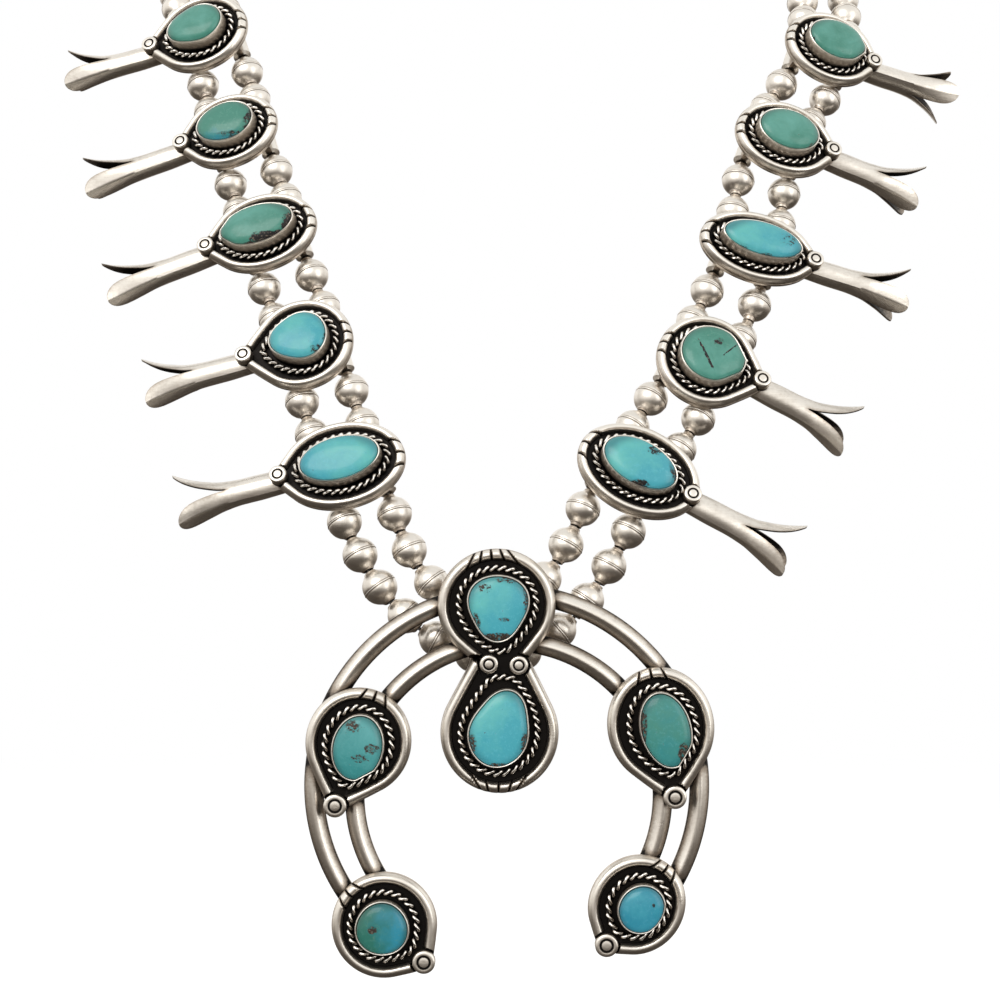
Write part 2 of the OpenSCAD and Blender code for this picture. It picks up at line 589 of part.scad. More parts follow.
THREAD_SIDES = 5;
LOOP_MIDDLE = [0, 95, 95];
module thread(j) {
    p = thread_route(j);
    n = len(p);
    rings = [for (i = [0:n - 1]) let (
            t = unit(p[min(i + 1, n - 1)] - p[max(i - 1, 0)]),
            u = unit(cross(t, p[i] - LOOP_MIDDLE)),
            v = cross(t, u))
        [for (k = [0:THREAD_SIDES - 1]) p[i] + (cos(360 * k / THREAD_SIDES) * u
            + sin(360 * k / THREAD_SIDES) * v) * thread_d / 2]];
    sides = [for (i = [0:n - 2], k = [0:THREAD_SIDES - 1]) let (m = (k + 1) % THREAD_SIDES)
        [i * THREAD_SIDES + k, (i + 1) * THREAD_SIDES + k, (i + 1) * THREAD_SIDES + m, i * THREAD_SIDES + m]];
    color("#8c8578") worn() polyhedron([for (r = rings, q = r) q],
        concat(sides, [[for (k = [0:THREAD_SIDES - 1]) k]],
            [[for (k = [THREAD_SIDES - 1:-1:0]) (n - 1) * THREAD_SIDES + k]]), convexity = 20);
}

// The clasp: a plain bar with a socket for each of the four thread ends
module clasp() {
    wide = clasp_pitch + 2 * clasp_edge;
    r = wide / 4;
    color(silver) difference() {
        linear_extrude(clasp_t) {
            square([clasp_l - 2 * r, wide], center = true);
            square([clasp_l, wide - 2 * r], center = true);
            for (x = [-1, 1], y = [-1, 1])
                translate([x * (clasp_l / 2 - r), y * (wide / 2 - r)]) circle(r, $fn = 48);
        }
        for (x = [-1, 1], y = [-1, 1])
            translate([x * (clasp_l / 2 - socket_l), y * clasp_pitch / 2, clasp_t / 2])
                rotate([0, x * 90, 0]) cylinder(h = socket_l + 1, d = tube_bore, $fn = 32);
    }
}

naja();
beads(LEFT, INNER);  // beads_left_inner
beads(LEFT, OUTER);  // beads_left_outer
beads(RIGHT, INNER);  // beads_right_inner
beads(RIGHT, OUTER);  // beads_right_outer
thread(INNER);  // thread_inner
thread(OUTER);  // thread_outer
clasp();
blossom(BLOSSOMS[0]);  // blossom_left_1
blossom(BLOSSOMS[1]);  // blossom_left_2
blossom(BLOSSOMS[2]);  // blossom_left_3
blossom(BLOSSOMS[3]);  // blossom_left_4
blossom(BLOSSOMS[4]);  // blossom_left_5
blossom(BLOSSOMS[5]);  // blossom_right_1
blossom(BLOSSOMS[6]);  // blossom_right_2
blossom(BLOSSOMS[7]);  // blossom_right_3
blossom(BLOSSOMS[8]);  // blossom_right_4
blossom(BLOSSOMS[9]);  // blossom_right_5
blossom_stone_piece(BLOSSOMS[0]);  // stone_left_1
blossom_stone_piece(BLOSSOMS[1]);  // stone_left_2
blossom_stone_piece(BLOSSOMS[2]);  // stone_left_3
blossom_stone_piece(BLOSSOMS[3]);  // stone_left_4
blossom_stone_piece(BLOSSOMS[4]);  // stone_left_5
blossom_stone_piece(BLOSSOMS[5]);  // stone_right_1
blossom_stone_piece(BLOSSOMS[6]);  // stone_right_2
blossom_stone_piece(BLOSSOMS[7]);  // stone_right_3
blossom_stone_piece(BLOSSOMS[8]);  // stone_right_4
blossom_stone_piece(BLOSSOMS[9]);  // stone_right_5
drop_stone_piece(DROP_SETS[0]);  // stone_drop_top
drop_stone_piece(DROP_SETS[1]);  // stone_drop_low
drop_stone_piece(DROP_SETS[2]);  // stone_side_left
drop_stone_piece(DROP_SETS[3]);  // stone_side_right
drop_stone_piece(DROP_SETS[4]);  // stone_end_left
drop_stone_piece(DROP_SETS[5]);  // stone_end_right
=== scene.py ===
"""Squash blossom necklace: the detailed silver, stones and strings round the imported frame, in metres."""
import json
import logging
import math
from dataclasses import dataclass
from enum import Enum
from typing import Callable, Iterable, Sequence

import bpy
from mathutils import Matrix, Vector

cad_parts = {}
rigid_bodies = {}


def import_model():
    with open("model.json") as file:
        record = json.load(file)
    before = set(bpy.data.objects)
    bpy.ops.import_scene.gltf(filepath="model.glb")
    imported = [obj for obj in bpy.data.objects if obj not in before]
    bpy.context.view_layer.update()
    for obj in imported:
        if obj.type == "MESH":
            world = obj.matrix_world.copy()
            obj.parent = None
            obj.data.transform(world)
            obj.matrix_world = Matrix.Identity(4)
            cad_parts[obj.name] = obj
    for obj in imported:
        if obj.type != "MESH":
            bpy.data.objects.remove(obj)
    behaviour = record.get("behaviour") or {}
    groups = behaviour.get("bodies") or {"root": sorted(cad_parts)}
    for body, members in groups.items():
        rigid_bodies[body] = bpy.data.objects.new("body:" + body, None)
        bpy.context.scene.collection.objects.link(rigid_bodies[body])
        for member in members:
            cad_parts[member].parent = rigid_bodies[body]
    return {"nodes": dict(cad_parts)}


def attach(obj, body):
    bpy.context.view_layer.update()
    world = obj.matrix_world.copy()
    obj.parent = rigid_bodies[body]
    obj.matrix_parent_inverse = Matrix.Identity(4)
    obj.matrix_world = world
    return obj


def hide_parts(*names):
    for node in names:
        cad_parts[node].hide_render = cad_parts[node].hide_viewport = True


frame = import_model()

log = logging.getLogger("necklace")
MM = 0.001
Colour = tuple[float, float, float]
Row = tuple[float, float, float]
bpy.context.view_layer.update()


class Side(Enum):
    """A side of the necklace as a front view shows it."""

    LEFT = -1
    RIGHT = 1


class Strand(Enum):
    """One of the two strings on each side."""

    INNER = 0
    OUTER = 1


# Nodes

class Value:
    """A number socket on which Python's arithmetic makes Math nodes."""

    def __init__(self, graph: "Graph", socket: bpy.types.NodeSocket) -> None:
        """Keep the socket and the graph that it is in."""
        self.graph = graph
        self.socket = socket

    def __add__(self, other: "Value | float") -> "Value":
        """Sum."""
        return self.graph.math("ADD", self, other)

    def __radd__(self, other: float) -> "Value":
        """Sum with a number on the left."""
        return self.graph.math("ADD", other, self)

    def __sub__(self, other: "Value | float") -> "Value":
        """Difference."""
        return self.graph.math("SUBTRACT", self, other)

    def __rsub__(self, other: float) -> "Value":
        """Difference with a number on the left."""
        return self.graph.math("SUBTRACT", other, self)

    def __mul__(self, other: "Value | float") -> "Value":
        """Product."""
        return self.graph.math("MULTIPLY", self, other)

    def __rmul__(self, other: float) -> "Value":
        """Product with a number on the left."""
        return self.graph.math("MULTIPLY", other, self)

    def __truediv__(self, other: "Value | float") -> "Value":
        """Quotient."""
        return self.graph.math("DIVIDE", self, other)

    def __rtruediv__(self, other: float) -> "Value":
        """Quotient with a number on the left."""
        return self.graph.math("DIVIDE", other, self)

    def __pow__(self, other: float) -> "Value":
        """Power."""
        return self.graph.math("POWER", self, other)

    def top(self, other: "Value | float") -> "Value":
        """The larger of the two."""
        return self.graph.math("MAXIMUM", self, other)

    def held(self) -> "Value":
        """The value held between 0 and 1."""
        return self.graph.math("ADD", self, 0.0, clamp=True)

    def step(self, low: float, high: float) -> "Value":
        """A soft step from 0 at low to 1 at high.

        Args:
            low: the value where the step starts.
            high: the value where the step ends.

        Returns:
            The stepped value.
        """
        node = self.graph.add("ShaderNodeMapRange", {"interpolation_type": "SMOOTHSTEP"},
                              {0: self, 1: low, 2: high})
        return Value(self.graph, node.outputs[0])


class Graph:
    """A node tree of a material, the world or a Geometry Nodes group."""

    def __init__(self, tree: bpy.types.NodeTree) -> None:
        """Keep the tree and empty it."""
        self.tree = tree
        tree.nodes.clear()

    def add(self, kind: str, settings: dict | None = None, sockets: dict | None = None) -> bpy.types.Node:
        """Make a node.

        Args:
            kind: the node's type.
            settings: its own settings, which are set first. "stops" holds a ramp's positions and colours.
            sockets: the values or links of its inputs, by name or number.

        Returns:
            The node.
        """
        node = self.tree.nodes.new(kind)
        for name, value in (settings or {}).items():
            if name == "stops":
                ramp = node.color_ramp.elements
                while len(ramp) < len(value):
                    ramp.new(1.0)
                for element, (place, colour) in zip(ramp, value):
                    element.position = place
                    element.color = (*colour, 1.0)
            else:
                setattr(node, name, value)
        for key, value in (sockets or {}).items():
            if isinstance(value, Value):
                self.tree.links.new(value.socket, node.inputs[key])
            elif isinstance(value, bpy.types.NodeSocket):
                self.tree.links.new(value, node.inputs[key])
            else:
                node.inputs[key].default_value = value
        return node

    def math(self, operation: str, a: Value | float, b: Value | float = 0.0, clamp: bool = False) -> Value:
        """One Math node on two numbers."""
        node = self.add("ShaderNodeMath", {"operation": operation, "use_clamp": clamp}, {0: a, 1: b})
        return Value(self, node.outputs[0])

    def mixed(self, share: Value | float, a: object, b: object) -> bpy.types.NodeSocket:
        """A colour between two colours."""
        colours = [(*c, 1.0) if isinstance(c, tuple) else c for c in (a, b)]
        node = self.add("ShaderNodeMix", {"data_type": "RGBA"}, {0: share, 6: colours[0], 7: colours[1]})
        return node.outputs[2]

    def noise(self, place: bpy.types.NodeSocket, scale: float, detail: float = 3.0,
              rough: float = 0.55, warp: float = 0.0) -> Value:
        """Soft noise over a place, from about 0.2 to 0.8."""
        node = self.add("ShaderNodeTexNoise", {}, {"Vector": place, "Scale": scale, "Detail": detail,
                                                   "Roughness": rough, "Distortion": warp})
        return Value(self, node.outputs[0])

    def object_place(self) -> bpy.types.NodeSocket:
        """The place on the object, in metres."""
        return self.add("ShaderNodeTexCoord").outputs["Object"]

    def mapped(self, place: bpy.types.NodeSocket, scale: Colour, turn: Colour = (0, 0, 0),
               shift: Colour = (0, 0, 0)) -> bpy.types.NodeSocket:
        """A place that is stretched, turned and shifted."""
        return self.add("ShaderNodeMapping", {}, {"Vector": place, "Scale": scale, "Rotation": turn,
                                                  "Location": shift}).outputs[0]

    def number(self, name: str) -> Value:
        """A number stored on the piece's own points."""
        return Value(self, self.add("ShaderNodeAttribute", {"attribute_name": name}).outputs["Fac"])

    def parts(self, name: str) -> tuple[Value, Value, Value]:
        """The three numbers of a vector stored on the piece's own points."""
        vector = self.add("ShaderNodeAttribute", {"attribute_name": name}).outputs["Vector"]
        split = self.add("ShaderNodeSeparateXYZ", {}, {0: vector})
        return tuple(Value(self, out) for out in split.outputs)

    def bump(self, height: Value, depth: float, strength: float = 1.0) -> bpy.types.NodeSocket:
        """A normal from a height between 0 and 1 that is depth metres high."""
        return self.add("ShaderNodeBump", {}, {"Strength": strength, "Distance": depth,
                                               "Height": height}).outputs[0]


def shader(name: str, build: Callable[[Graph], dict]) -> bpy.types.Material:
    """A material of one Principled shader.

    Args:
        name: the material's name.
        build: makes the nodes and returns the values or links of the shader's sockets.

    Returns:
        The material.
    """
    material = bpy.data.materials.new(name)
    material.use_nodes = True
    graph = Graph(material.node_tree)
    body = graph.add("ShaderNodeBsdfPrincipled", {}, build(graph))
    graph.add("ShaderNodeOutputMaterial", {}, {"Surface": body.outputs[0]})
    return material


# Finishes

@dataclass(frozen=True)
class SilverFinish:
    """Old silver: bright where it is rubbed, brown in its hollows and black on the floors; the same per-point
    darkness also carries painted shade on the rope wires' lower halves and on the bands beside the plates.
    """

    name: str
    clean: Colour = (0.9, 0.85, 0.775)
    film: Colour = (0.42, 0.355, 0.29)
    black: Colour = (0.018, 0.016, 0.015)
    roughness: float = 0.3
    blotch: float = 130.0

    def material(self) -> bpy.types.Material:
        """The silver with its film, scratches, worn spots and the painted shade that its points carry."""
        def build(graph: Graph) -> dict:
            """Nodes of the silver."""
            place = graph.object_place()
            clouds = graph.noise(place, self.blotch, 4.0, 0.6)
            grain = graph.noise(place, 1400.0, 4.0, 0.65)
            long = graph.noise(graph.mapped(place, (1.0, 1.0, 0.08), (0.5, 0.9, 0.3)), 2600.0, 2.0)
            cross = graph.noise(graph.mapped(place, (0.07, 1.0, 1.0), (0.2, 0.4, 1.1)), 2300.0, 2.0)
            worn = (clouds - 0.5) * 0.4 + (grain - 0.5) * 0.3 + (cross - 0.52) * 0.3
            # The per-point darkness holds both real patina and painted shade, so this mask darkens the colour
            # for both.
            dirt_and_shade = (graph.number("tarnish") * 1.12 + worn).held()
            colour = graph.mixed(dirt_and_shade.step(0.02, 0.6), self.clean, self.film)
            colour = graph.mixed(dirt_and_shade.step(0.5, 0.95), colour, self.black)
            rough = self.roughness + (clouds - 0.5) * 0.22 + dirt_and_shade * 0.22
            relief = long * 0.5 + cross * 0.5 + grain * 0.45 + clouds * 1.4
            return {"Base Color": colour, "Metallic": 1.0, "Roughness": rough.held(),
                    "Normal": graph.bump(relief, 0.00005, 0.55)}
        return shader(self.name, build)


@dataclass(frozen=True)
class Patch:
    """A place on a stone where the dark matrix shows: its middle and half sizes, in half stones."""

    u: float
    v: float
    wide: float
    high: float
    strength: float = 1.0
    lean: float = 0.0


@dataclass(frozen=True)
class TurquoiseFinish:
    """One turquoise stone: two colours, the way that they run, and its matrix."""

    name: str
    main: Colour
    second: Colour
    run: tuple[float, float, float] = (0.0, 0.0, 0.0)
    matrix: Colour = (0.03, 0.022, 0.018)
    patches: tuple[Patch, ...] = ()
    speck: float = 900.0
    shift: float = 0.0

    def material(self) -> bpy.types.Material:
        """The stone with its clouds, matrix and polish."""
        def build(graph: Graph) -> dict:
            """Nodes of the stone."""
            place = graph.mapped(graph.object_place(), (1, 1, 1), (0, 0, 0), (self.shift, 0, 0))
            u, v, _ = graph.parts("place")
            clouds = graph.noise(place, 170.0, 4.0, 0.6, 0.4)
            fine = graph.noise(place, self.speck, 5.0, 0.7, 0.6)
            across, up, bias = self.run
            blend = (u * across + v * up + bias + (clouds - 0.5) * 2.4).held()
            colour = graph.mixed(blend, self.main, self.second)
            pale = tuple(min(1.0, c * 1.25 + 0.04) for c in self.main)
            colour = graph.mixed(fine.step(0.5, 0.7) * 0.45, colour, pale)
            # Painted shade: the stone darkens towards its outline as seen from the front, where the dome
            # turns away from the light.
            edge_shade_colour = tuple(c * 0.45 for c in self.main)
            edge = (u ** 2 + v ** 2 + (clouds - 0.5) * 0.5).step(0.55, 1.15)
            colour = graph.mixed(edge * 0.7, colour, edge_shade_colour)
            dark = graph.math("ADD", 0.0, 0.0)
            for spot in self.patches:
                aside, along = u - spot.u + (clouds - 0.5) * 0.22, v - spot.v + (fine - 0.5) * 0.1
                far = ((aside - along * spot.lean) / spot.wide) ** 2 + (along / spot.high) ** 2
                near = (1.0 - far + (clouds - 0.5) * 1.3).step(0.0, 0.9) * spot.strength
                dark = dark.top(near)
            veins = (dark * 0.66 + (fine - 0.5) * 2.5).step(0.4, 0.58)
            glint = graph.noise(place, self.speck * 2.2, 2.0).step(0.55, 0.66)
            stain = (dark * 0.7 + (fine - 0.5) * 1.2).step(0.2, 0.75) * 0.5
            colour = graph.mixed(stain, colour, tuple(c * 0.35 for c in self.main))
            colour = graph.mixed(veins, colour, graph.mixed(glint * 0.4, self.matrix, (0.3, 0.24, 0.17)))
            return {"Base Color": colour, "Roughness": 0.24 + veins * 0.3 + (clouds - 0.5) * 0.12,
                    "Coat Weight": (0.3 - veins * 0.3).held(), "Coat Roughness": 0.12,
                    "Specular IOR Level": 0.35,
                    "Normal": graph.bump(clouds * 0.8 - veins * 0.5, 0.00012, 0.6)}
        return shader(self.name, build)


def plain(name: str, colour: Colour, dark: Colour, scale: float, rough: float) -> bpy.types.Material:
    """A matt material with a soft mottle, for the thread."""
    def build(graph: Graph) -> dict:
        """Nodes of the thread."""
        fibre = graph.noise(graph.object_place(), scale, 3.0)
        return {"Base Color": graph.mixed(fibre.step(0.35, 0.65), colour, dark), "Roughness": rough,
                "Normal": graph.bump(fibre, 0.0001)}
    return shader(name, build)


# Forms

@dataclass(frozen=True)
class Outline:
    """A drop-shaped outline: an ellipse with two nearly straight sides to its tip, in millimetres."""

    long: float
    wide: float
    tip: float

    def touch(self) -> tuple[float, float]:
        """Where a straight side meets the ellipse."""
        return self.long ** 2 / self.tip, self.wide * math.sqrt(1 - (self.long / self.tip) ** 2)

    def tip_angle(self) -> float:
        """Half the angle at the tip."""
        x, y = self.touch()
        return math.atan2(y, self.tip - x)

    def inset(self, by: float) -> "Outline":
        """The outline moved inwards."""
        return Outline(self.long - by, self.wide - by, self.tip - by / math.sin(self.tip_angle()))

    def radius(self, angle: float) -> float:
        """Distance from the middle to the outline at an angle from the tip."""
        turned = abs((angle + math.pi) % (2 * math.pi) - math.pi)
        x, y = self.touch()
        end, tip = math.atan2(y, x), self.tip_angle()
        if turned < end:
            bow = 1 + SIZES.side_bow * math.sin(math.pi * turned / end)
            return self.tip * math.sin(tip) / math.sin(tip + turned) * bow
        return self.long * self.wide / math.hypot(self.wide * math.cos(angle), self.long * math.sin(angle))


@dataclass(frozen=True)
class StoneForm:
    """A stone's outline: an ellipse made a little egg-shaped or three-cornered, kept inside the rope."""

    long: float
    wide: float
    egg: float
    tri: float
    turn: float
    x: float
    y: float
    room: Outline

    def at(self, angle: float, grow: float) -> tuple[float, float]:
        """The point of the outline at an angle, moved outwards by grow."""
        own = angle - self.turn
        most = 1 + abs(self.egg) + abs(self.tri)
        form = (1 + self.egg * math.cos(own) + self.tri * math.cos(3 * own)) / most
        oval = self.long * self.wide / math.hypot(self.wide * math.cos(own), self.long * math.sin(own))
        r = oval * form + grow
        x, y = self.x + r * math.cos(angle), self.y + r * math.sin(angle)
        limit = self.room.radius(math.atan2(abs(y), x)) - (SIZES.wall - grow)
        share = min(1.0, limit / math.hypot(x, y))
        return x * share, y * share


@dataclass(frozen=True)
class Sizes:
    """The CAD's sizes: lengths in millimetres, with the chest's lean as a slope and the bow as a share."""

    disc_long: float = 25.0
    disc_wide: float = 20.0
    drop_set: float = 22.0
    side_bow: float = 0.008
    flower: float = 22.6
    flower_sink: float = 1.7
    outer_band: float = 40.3
    inner_band: float = 32.2
    band: float = 4.1
    drop_below: float = 35.6
    ring_long: float = 2.2
    chest_lean: float = 0.5
    chest_bend: float = 20.0
    chest_round: float = 220.0
    plate: float = 0.9
    rim_high: float = 2.5
    rim: float = 2.1
    drop_rim: float = 2.35
    rope_gap: float = 0.5
    rope: float = 1.45
    foot_gap: float = 0.06
    bezel_top: float = 5.2
    fit: float = 0.08
    wall: float = 0.5
    seat: float = 1.4
    dome: float = 1.5
    string_back: float = 4.1
    drop_back: float = 6.2
    tube: float = 4.2
    bore: float = 1.5
    button: float = 3.9
    end_button: float = 4.8
    button_high: float = 3.3
    tip_past: float = 2.1
    bead: float = 7.5
    collar: float = 2.1
    step: float = 8.2
    gap: float = 0.25
    thread: float = 0.8
    tube_long: float = 13.0
    clear: float = 0.4


SIZES = Sizes()
WORN = Vector((0, -173, -204.5))


def moved(x: float, y: float, z: float = 0.0, turn: float = 0.0, axis: str = "Z") -> Matrix:
    """A place that is shifted, and turned by some degrees about its own axis."""
    return Matrix.Translation((x, y, z)) @ Matrix.Rotation(math.radians(turn), 4, axis)


def in_scene(name: str, data: bpy.types.ID) -> bpy.types.Object:
    """A new object of some data, linked into the scene."""
    thing = bpy.data.objects.new(name, data)
    bpy.context.scene.collection.objects.link(thing)
    return thing


class Draft:
    """Gathers the points and faces of one piece, with how dark each point is."""

    def __init__(self) -> None:
        """Start empty."""
        self.points: list[Vector] = []
        self.dark: list[float] = []
        self.faces: list[tuple[int, ...]] = []

    def point(self, place: Vector, dark: float) -> int:
        """Add a point and return its number."""
        self.points.append(place)
        self.dark.append(dark)
        return len(self.points) - 1

    def loft(self, rings: Sequence[Sequence[Vector]], dark: Sequence[Sequence[float]],
             ends: bool = True, looped: bool = False) -> None:
        """Join closed rings of equal length into a skin.

        Args:
            rings: the rings' points.
            dark: how dark each point is.
            ends: whether the first and last ring are closed with a fan.
            looped: whether the last ring joins the first.
        """
        count = len(rings[0])
        index = [[self.point(p, d) for p, d in zip(ring, shade)] for ring, shade in zip(rings, dark)]
        pairs = list(zip(index, index[1:])) + ([(index[-1], index[0])] if looped else [])
        for low, high in pairs:
            for i in range(count):
                j = (i + 1) % count
                self.faces.append((low[i], low[j], high[j], high[i]))
        if ends and not looped:
            for end in (0, -1):
                middle = self.point(sum(rings[end], Vector()) / count, sum(dark[end]) / count)
                for i in range(count):
                    a, b = index[end][i], index[end][(i + 1) % count]
                    self.faces.append((a, b, middle) if end else (b, a, middle))

    def lathe(self, profile: Sequence[Row], place: Matrix, sides: int, looped: bool = False) -> None:
        """Turn a profile of radius, height and darkness round the local Z of a place."""
        rings, dark = [], []
        for radius, high, shade in profile:
            rings.append([place @ Vector((radius * math.cos(2 * math.pi * i / sides),
                                          radius * math.sin(2 * math.pi * i / sides), high))
                          for i in range(sides)])
            dark.append([shade] * sides)
        self.loft(rings, dark, looped=looped)

    def mesh(self, name: str, material: bpy.types.Material, sharp: float = 38.0) -> bpy.types.Mesh:
        """The draft as a mesh in metres, smooth but for its sharp edges."""
        mesh = bpy.data.meshes.new(name)
        mesh.from_pydata([p * MM for p in self.points], [], self.faces)
        mesh.attributes.new("tarnish", "FLOAT", "POINT").data.foreach_set("value", self.dark)
        mesh.materials.append(material)
        mesh.shade_smooth()
        mesh.set_sharp_from_angle(angle=math.radians(sharp))
        mesh.update()
        return mesh


def piece(name: str, mesh: bpy.types.Mesh, nodes: Iterable[str] = ()) -> bpy.types.Object:
    """Put a mesh in the scene as a piece of the object.

    Args:
        name: the piece's name.
        mesh: its mesh, in place.
        nodes: the CAD nodes that it stands for.

    Returns:
        The piece.
    """
    thing = in_scene(name, mesh)
    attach(thing, "root")
    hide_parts(*nodes)
    log.info("%s: %d faces", name, len(mesh.polygons))
    return thing


# Geometry nodes

class Pattern:
    """A Geometry Nodes tree with named inputs."""

    def __init__(self, name: str, inputs: Sequence[tuple[str, str, object]]) -> None:
        """Make the tree and its sockets.

        Args:
            name: the tree's name.
            inputs: name, socket type and default of each input after the geometry.
        """
        self.tree = bpy.data.node_groups.new(name, "GeometryNodeTree")
        self.graph = Graph(self.tree)
        face = self.tree.interface
        face.new_socket("Geometry", in_out="INPUT", socket_type="NodeSocketGeometry")
        face.new_socket("Geometry", in_out="OUTPUT", socket_type="NodeSocketGeometry")
        self.ids: dict[str, str] = {}
        for label, kind, default in inputs:
            socket = face.new_socket(label, in_out="INPUT", socket_type=kind)
            if default is not None:
                socket.default_value = default
            self.ids[label] = socket.identifier
        self.start = self.graph.add("NodeGroupInput").outputs

    def finish(self, geometry: bpy.types.NodeSocket) -> None:
        """End the tree in Realize Instances and Set Material."""
        real = self.graph.add("GeometryNodeRealizeInstances", {}, {0: geometry})
        dressed = self.graph.add("GeometryNodeSetMaterial", {}, {0: real.outputs[0],
                                                                 "Material": self.start["Material"]})
        self.graph.add("NodeGroupOutput", {}, {0: dressed.outputs[0]})

    def sweep(self, path: bpy.types.NodeSocket, profile: bpy.types.NodeSocket) -> None:
        """End the tree in a profile swept along a path, closed at its ends."""
        swept = self.graph.add("GeometryNodeCurveToMesh", {}, {0: path, 1: profile, "Fill Caps": True})
        self.finish(swept.outputs[0])

    def grow(self, name: str, seed: bpy.types.Mesh, **values: object) -> bpy.types.Mesh:
        """Run the tree on a mesh and return the plain mesh that it makes.

        Args:
            name: the name of the mesh.
            seed: the mesh that the tree starts from.
            values: its inputs, by name with spaces as underscores.

        Returns:
            The result, with no modifier.
        """
        holder = in_scene(name + "_seed", seed)
        modifier = holder.modifiers.new("pattern", "NODES")
        modifier.node_group = self.tree
        for label, value in values.items():
            modifier[self.ids[label.replace("_", " ")]] = value
        ready = holder.evaluated_get(bpy.context.evaluated_depsgraph_get())
        mesh = bpy.data.meshes.new_from_object(ready)
        mesh.name = name
        holder.modifiers.clear()
        bpy.data.objects.remove(holder)
        mesh.shade_smooth()
        mesh.set_sharp_from_angle(angle=math.radians(45))
        return mesh


# How high a rope wire's middle is over the plate, and the height over that middle where its painted highlight
# starts and how far it fades in; below that, painted shade
ROPE_OVER, LIT_TOP_FROM, LIT_TOP_OVER = 0.8, 0.22, 0.32


def rope_pattern() -> Pattern:
    """Two round wires twisted along a path: each turns once round the other in a lead."""
    made = Pattern("twisted rope wire", [
        ("Wire Radius", "NodeSocketFloat", 0.0004), ("Lead", "NodeSocketFloat", 0.0035),
        ("Step", "NodeSocketFloat", 0.0002), ("Sides", "NodeSocketInt", 8),
        ("Material", "NodeSocketMaterial", None)])
    graph, start = made.graph, made.start
    path = graph.add("GeometryNodeMeshToCurve", {}, {0: start["Geometry"]})
    even = graph.add("GeometryNodeResampleCurve", {"mode": "LENGTH"},
                     {0: path.outputs[0], "Length": start["Step"]})
    whole = Value(graph, graph.add("GeometryNodeSplineLength").outputs["Length"])
    turns = graph.math("ROUND", whole / Value(graph, start["Lead"]))
    share = Value(graph, graph.add("GeometryNodeSplineParameter").outputs["Factor"])
    tilted = graph.add("GeometryNodeSetCurveTilt", {},
                       {0: even.outputs[0], "Tilt": turns * share * (-2 * math.pi)})
    radius = Value(graph, start["Wire Radius"])
    ring = graph.add("GeometryNodeCurvePrimitiveCircle", {}, {"Resolution": start["Sides"], "Radius": radius})
    pair = []
    for way in (1.0, -1.0):
        shift = graph.add("ShaderNodeCombineXYZ", {}, {0: radius * way})
        pair.append(graph.add("GeometryNodeTransform", {},
                              {0: ring.outputs[0], "Translation": shift.outputs[0]}))
    both = graph.add("GeometryNodeJoinGeometry")
    for wire in pair:
        graph.tree.links.new(wire.outputs[0], both.inputs[0])
    spot = graph.add("GeometryNodeInputPosition").outputs[0]
    far = Value(graph, graph.add("ShaderNodeVectorMath", {"operation": "LENGTH"}, {0: spot}).outputs["Value"])
    dark = 1.0 - (far / radius).step(0.25, 1.0)
    shaded = graph.add("GeometryNodeStoreNamedAttribute", {"data_type": "FLOAT", "domain": "POINT"},
                       {0: both.outputs[0], "Name": "tarnish", "Value": dark})
    made.sweep(tilted.outputs[0], shaded.outputs[0])
    return made


def bead_pattern() -> Pattern:
    """A bead and its collars on every point, turned along the string, with a random roll."""
    made = Pattern("bead string", [("Bead", "NodeSocketObject", None), ("Collar", "NodeSocketObject", None),
                                   ("Bead Diameter", "NodeSocketFloat", 0.0075),
                                   ("Seed", "NodeSocketInt", 7), ("Material", "NodeSocketMaterial", None)])
    graph, start = made.graph, made.start
    along = graph.add("GeometryNodeInputNamedAttribute", {"data_type": "FLOAT_VECTOR"}, {"Name": "along"})
    reach = graph.add("GeometryNodeInputNamedAttribute", {"data_type": "FLOAT"}, {"Name": "reach"})
    facing = graph.add("FunctionNodeAlignRotationToVector", {"axis": "Z"}, {"Vector": along.outputs[0]})
    roll = graph.add("FunctionNodeRandomValue", {"data_type": "FLOAT"},
                     {2: 0.0, 3: 2 * math.pi, "Seed": start["Seed"]})
    spin = graph.add("FunctionNodeAxisAngleToRotation", {}, {"Axis": (0, 0, 1), "Angle": roll.outputs[1]})
    turned = graph.add("FunctionNodeRotateRotation", {"rotation_space": "LOCAL"},
                       {0: facing.outputs[0], 1: spin.outputs[0]})
    long = graph.add("ShaderNodeCombineXYZ", {}, {0: 1.0, 1: 1.0, 2: reach.outputs[0]})
    both = graph.add("GeometryNodeJoinGeometry")
    for label, scale in (("Bead", start["Bead Diameter"]), ("Collar", long.outputs[0])):
        source = graph.add("GeometryNodeObjectInfo", {}, {0: start[label], "As Instance": True})
        placed = graph.add("GeometryNodeInstanceOnPoints", {}, {
            0: start["Geometry"], "Instance": source.outputs["Geometry"],
            "Rotation": turned.outputs[0], "Scale": scale})
        graph.tree.links.new(placed.outputs[0], both.inputs[0])
    made.finish(both.outputs[0])
    return made


def thread_pattern() -> Pattern:
    """A round thread along a path."""
    made = Pattern("thread", [("Thread Radius", "NodeSocketFloat", 0.0004),
                              ("Material", "NodeSocketMaterial", None)])
    graph, start = made.graph, made.start
    path = graph.add("GeometryNodeMeshToCurve", {}, {0: start["Geometry"]})
    ring = graph.add("GeometryNodeCurvePrimitiveCircle", {},
                     {"Resolution": 8, "Radius": start["Thread Radius"]})
    made.sweep(path.outputs[0], ring.outputs[0])
    return made


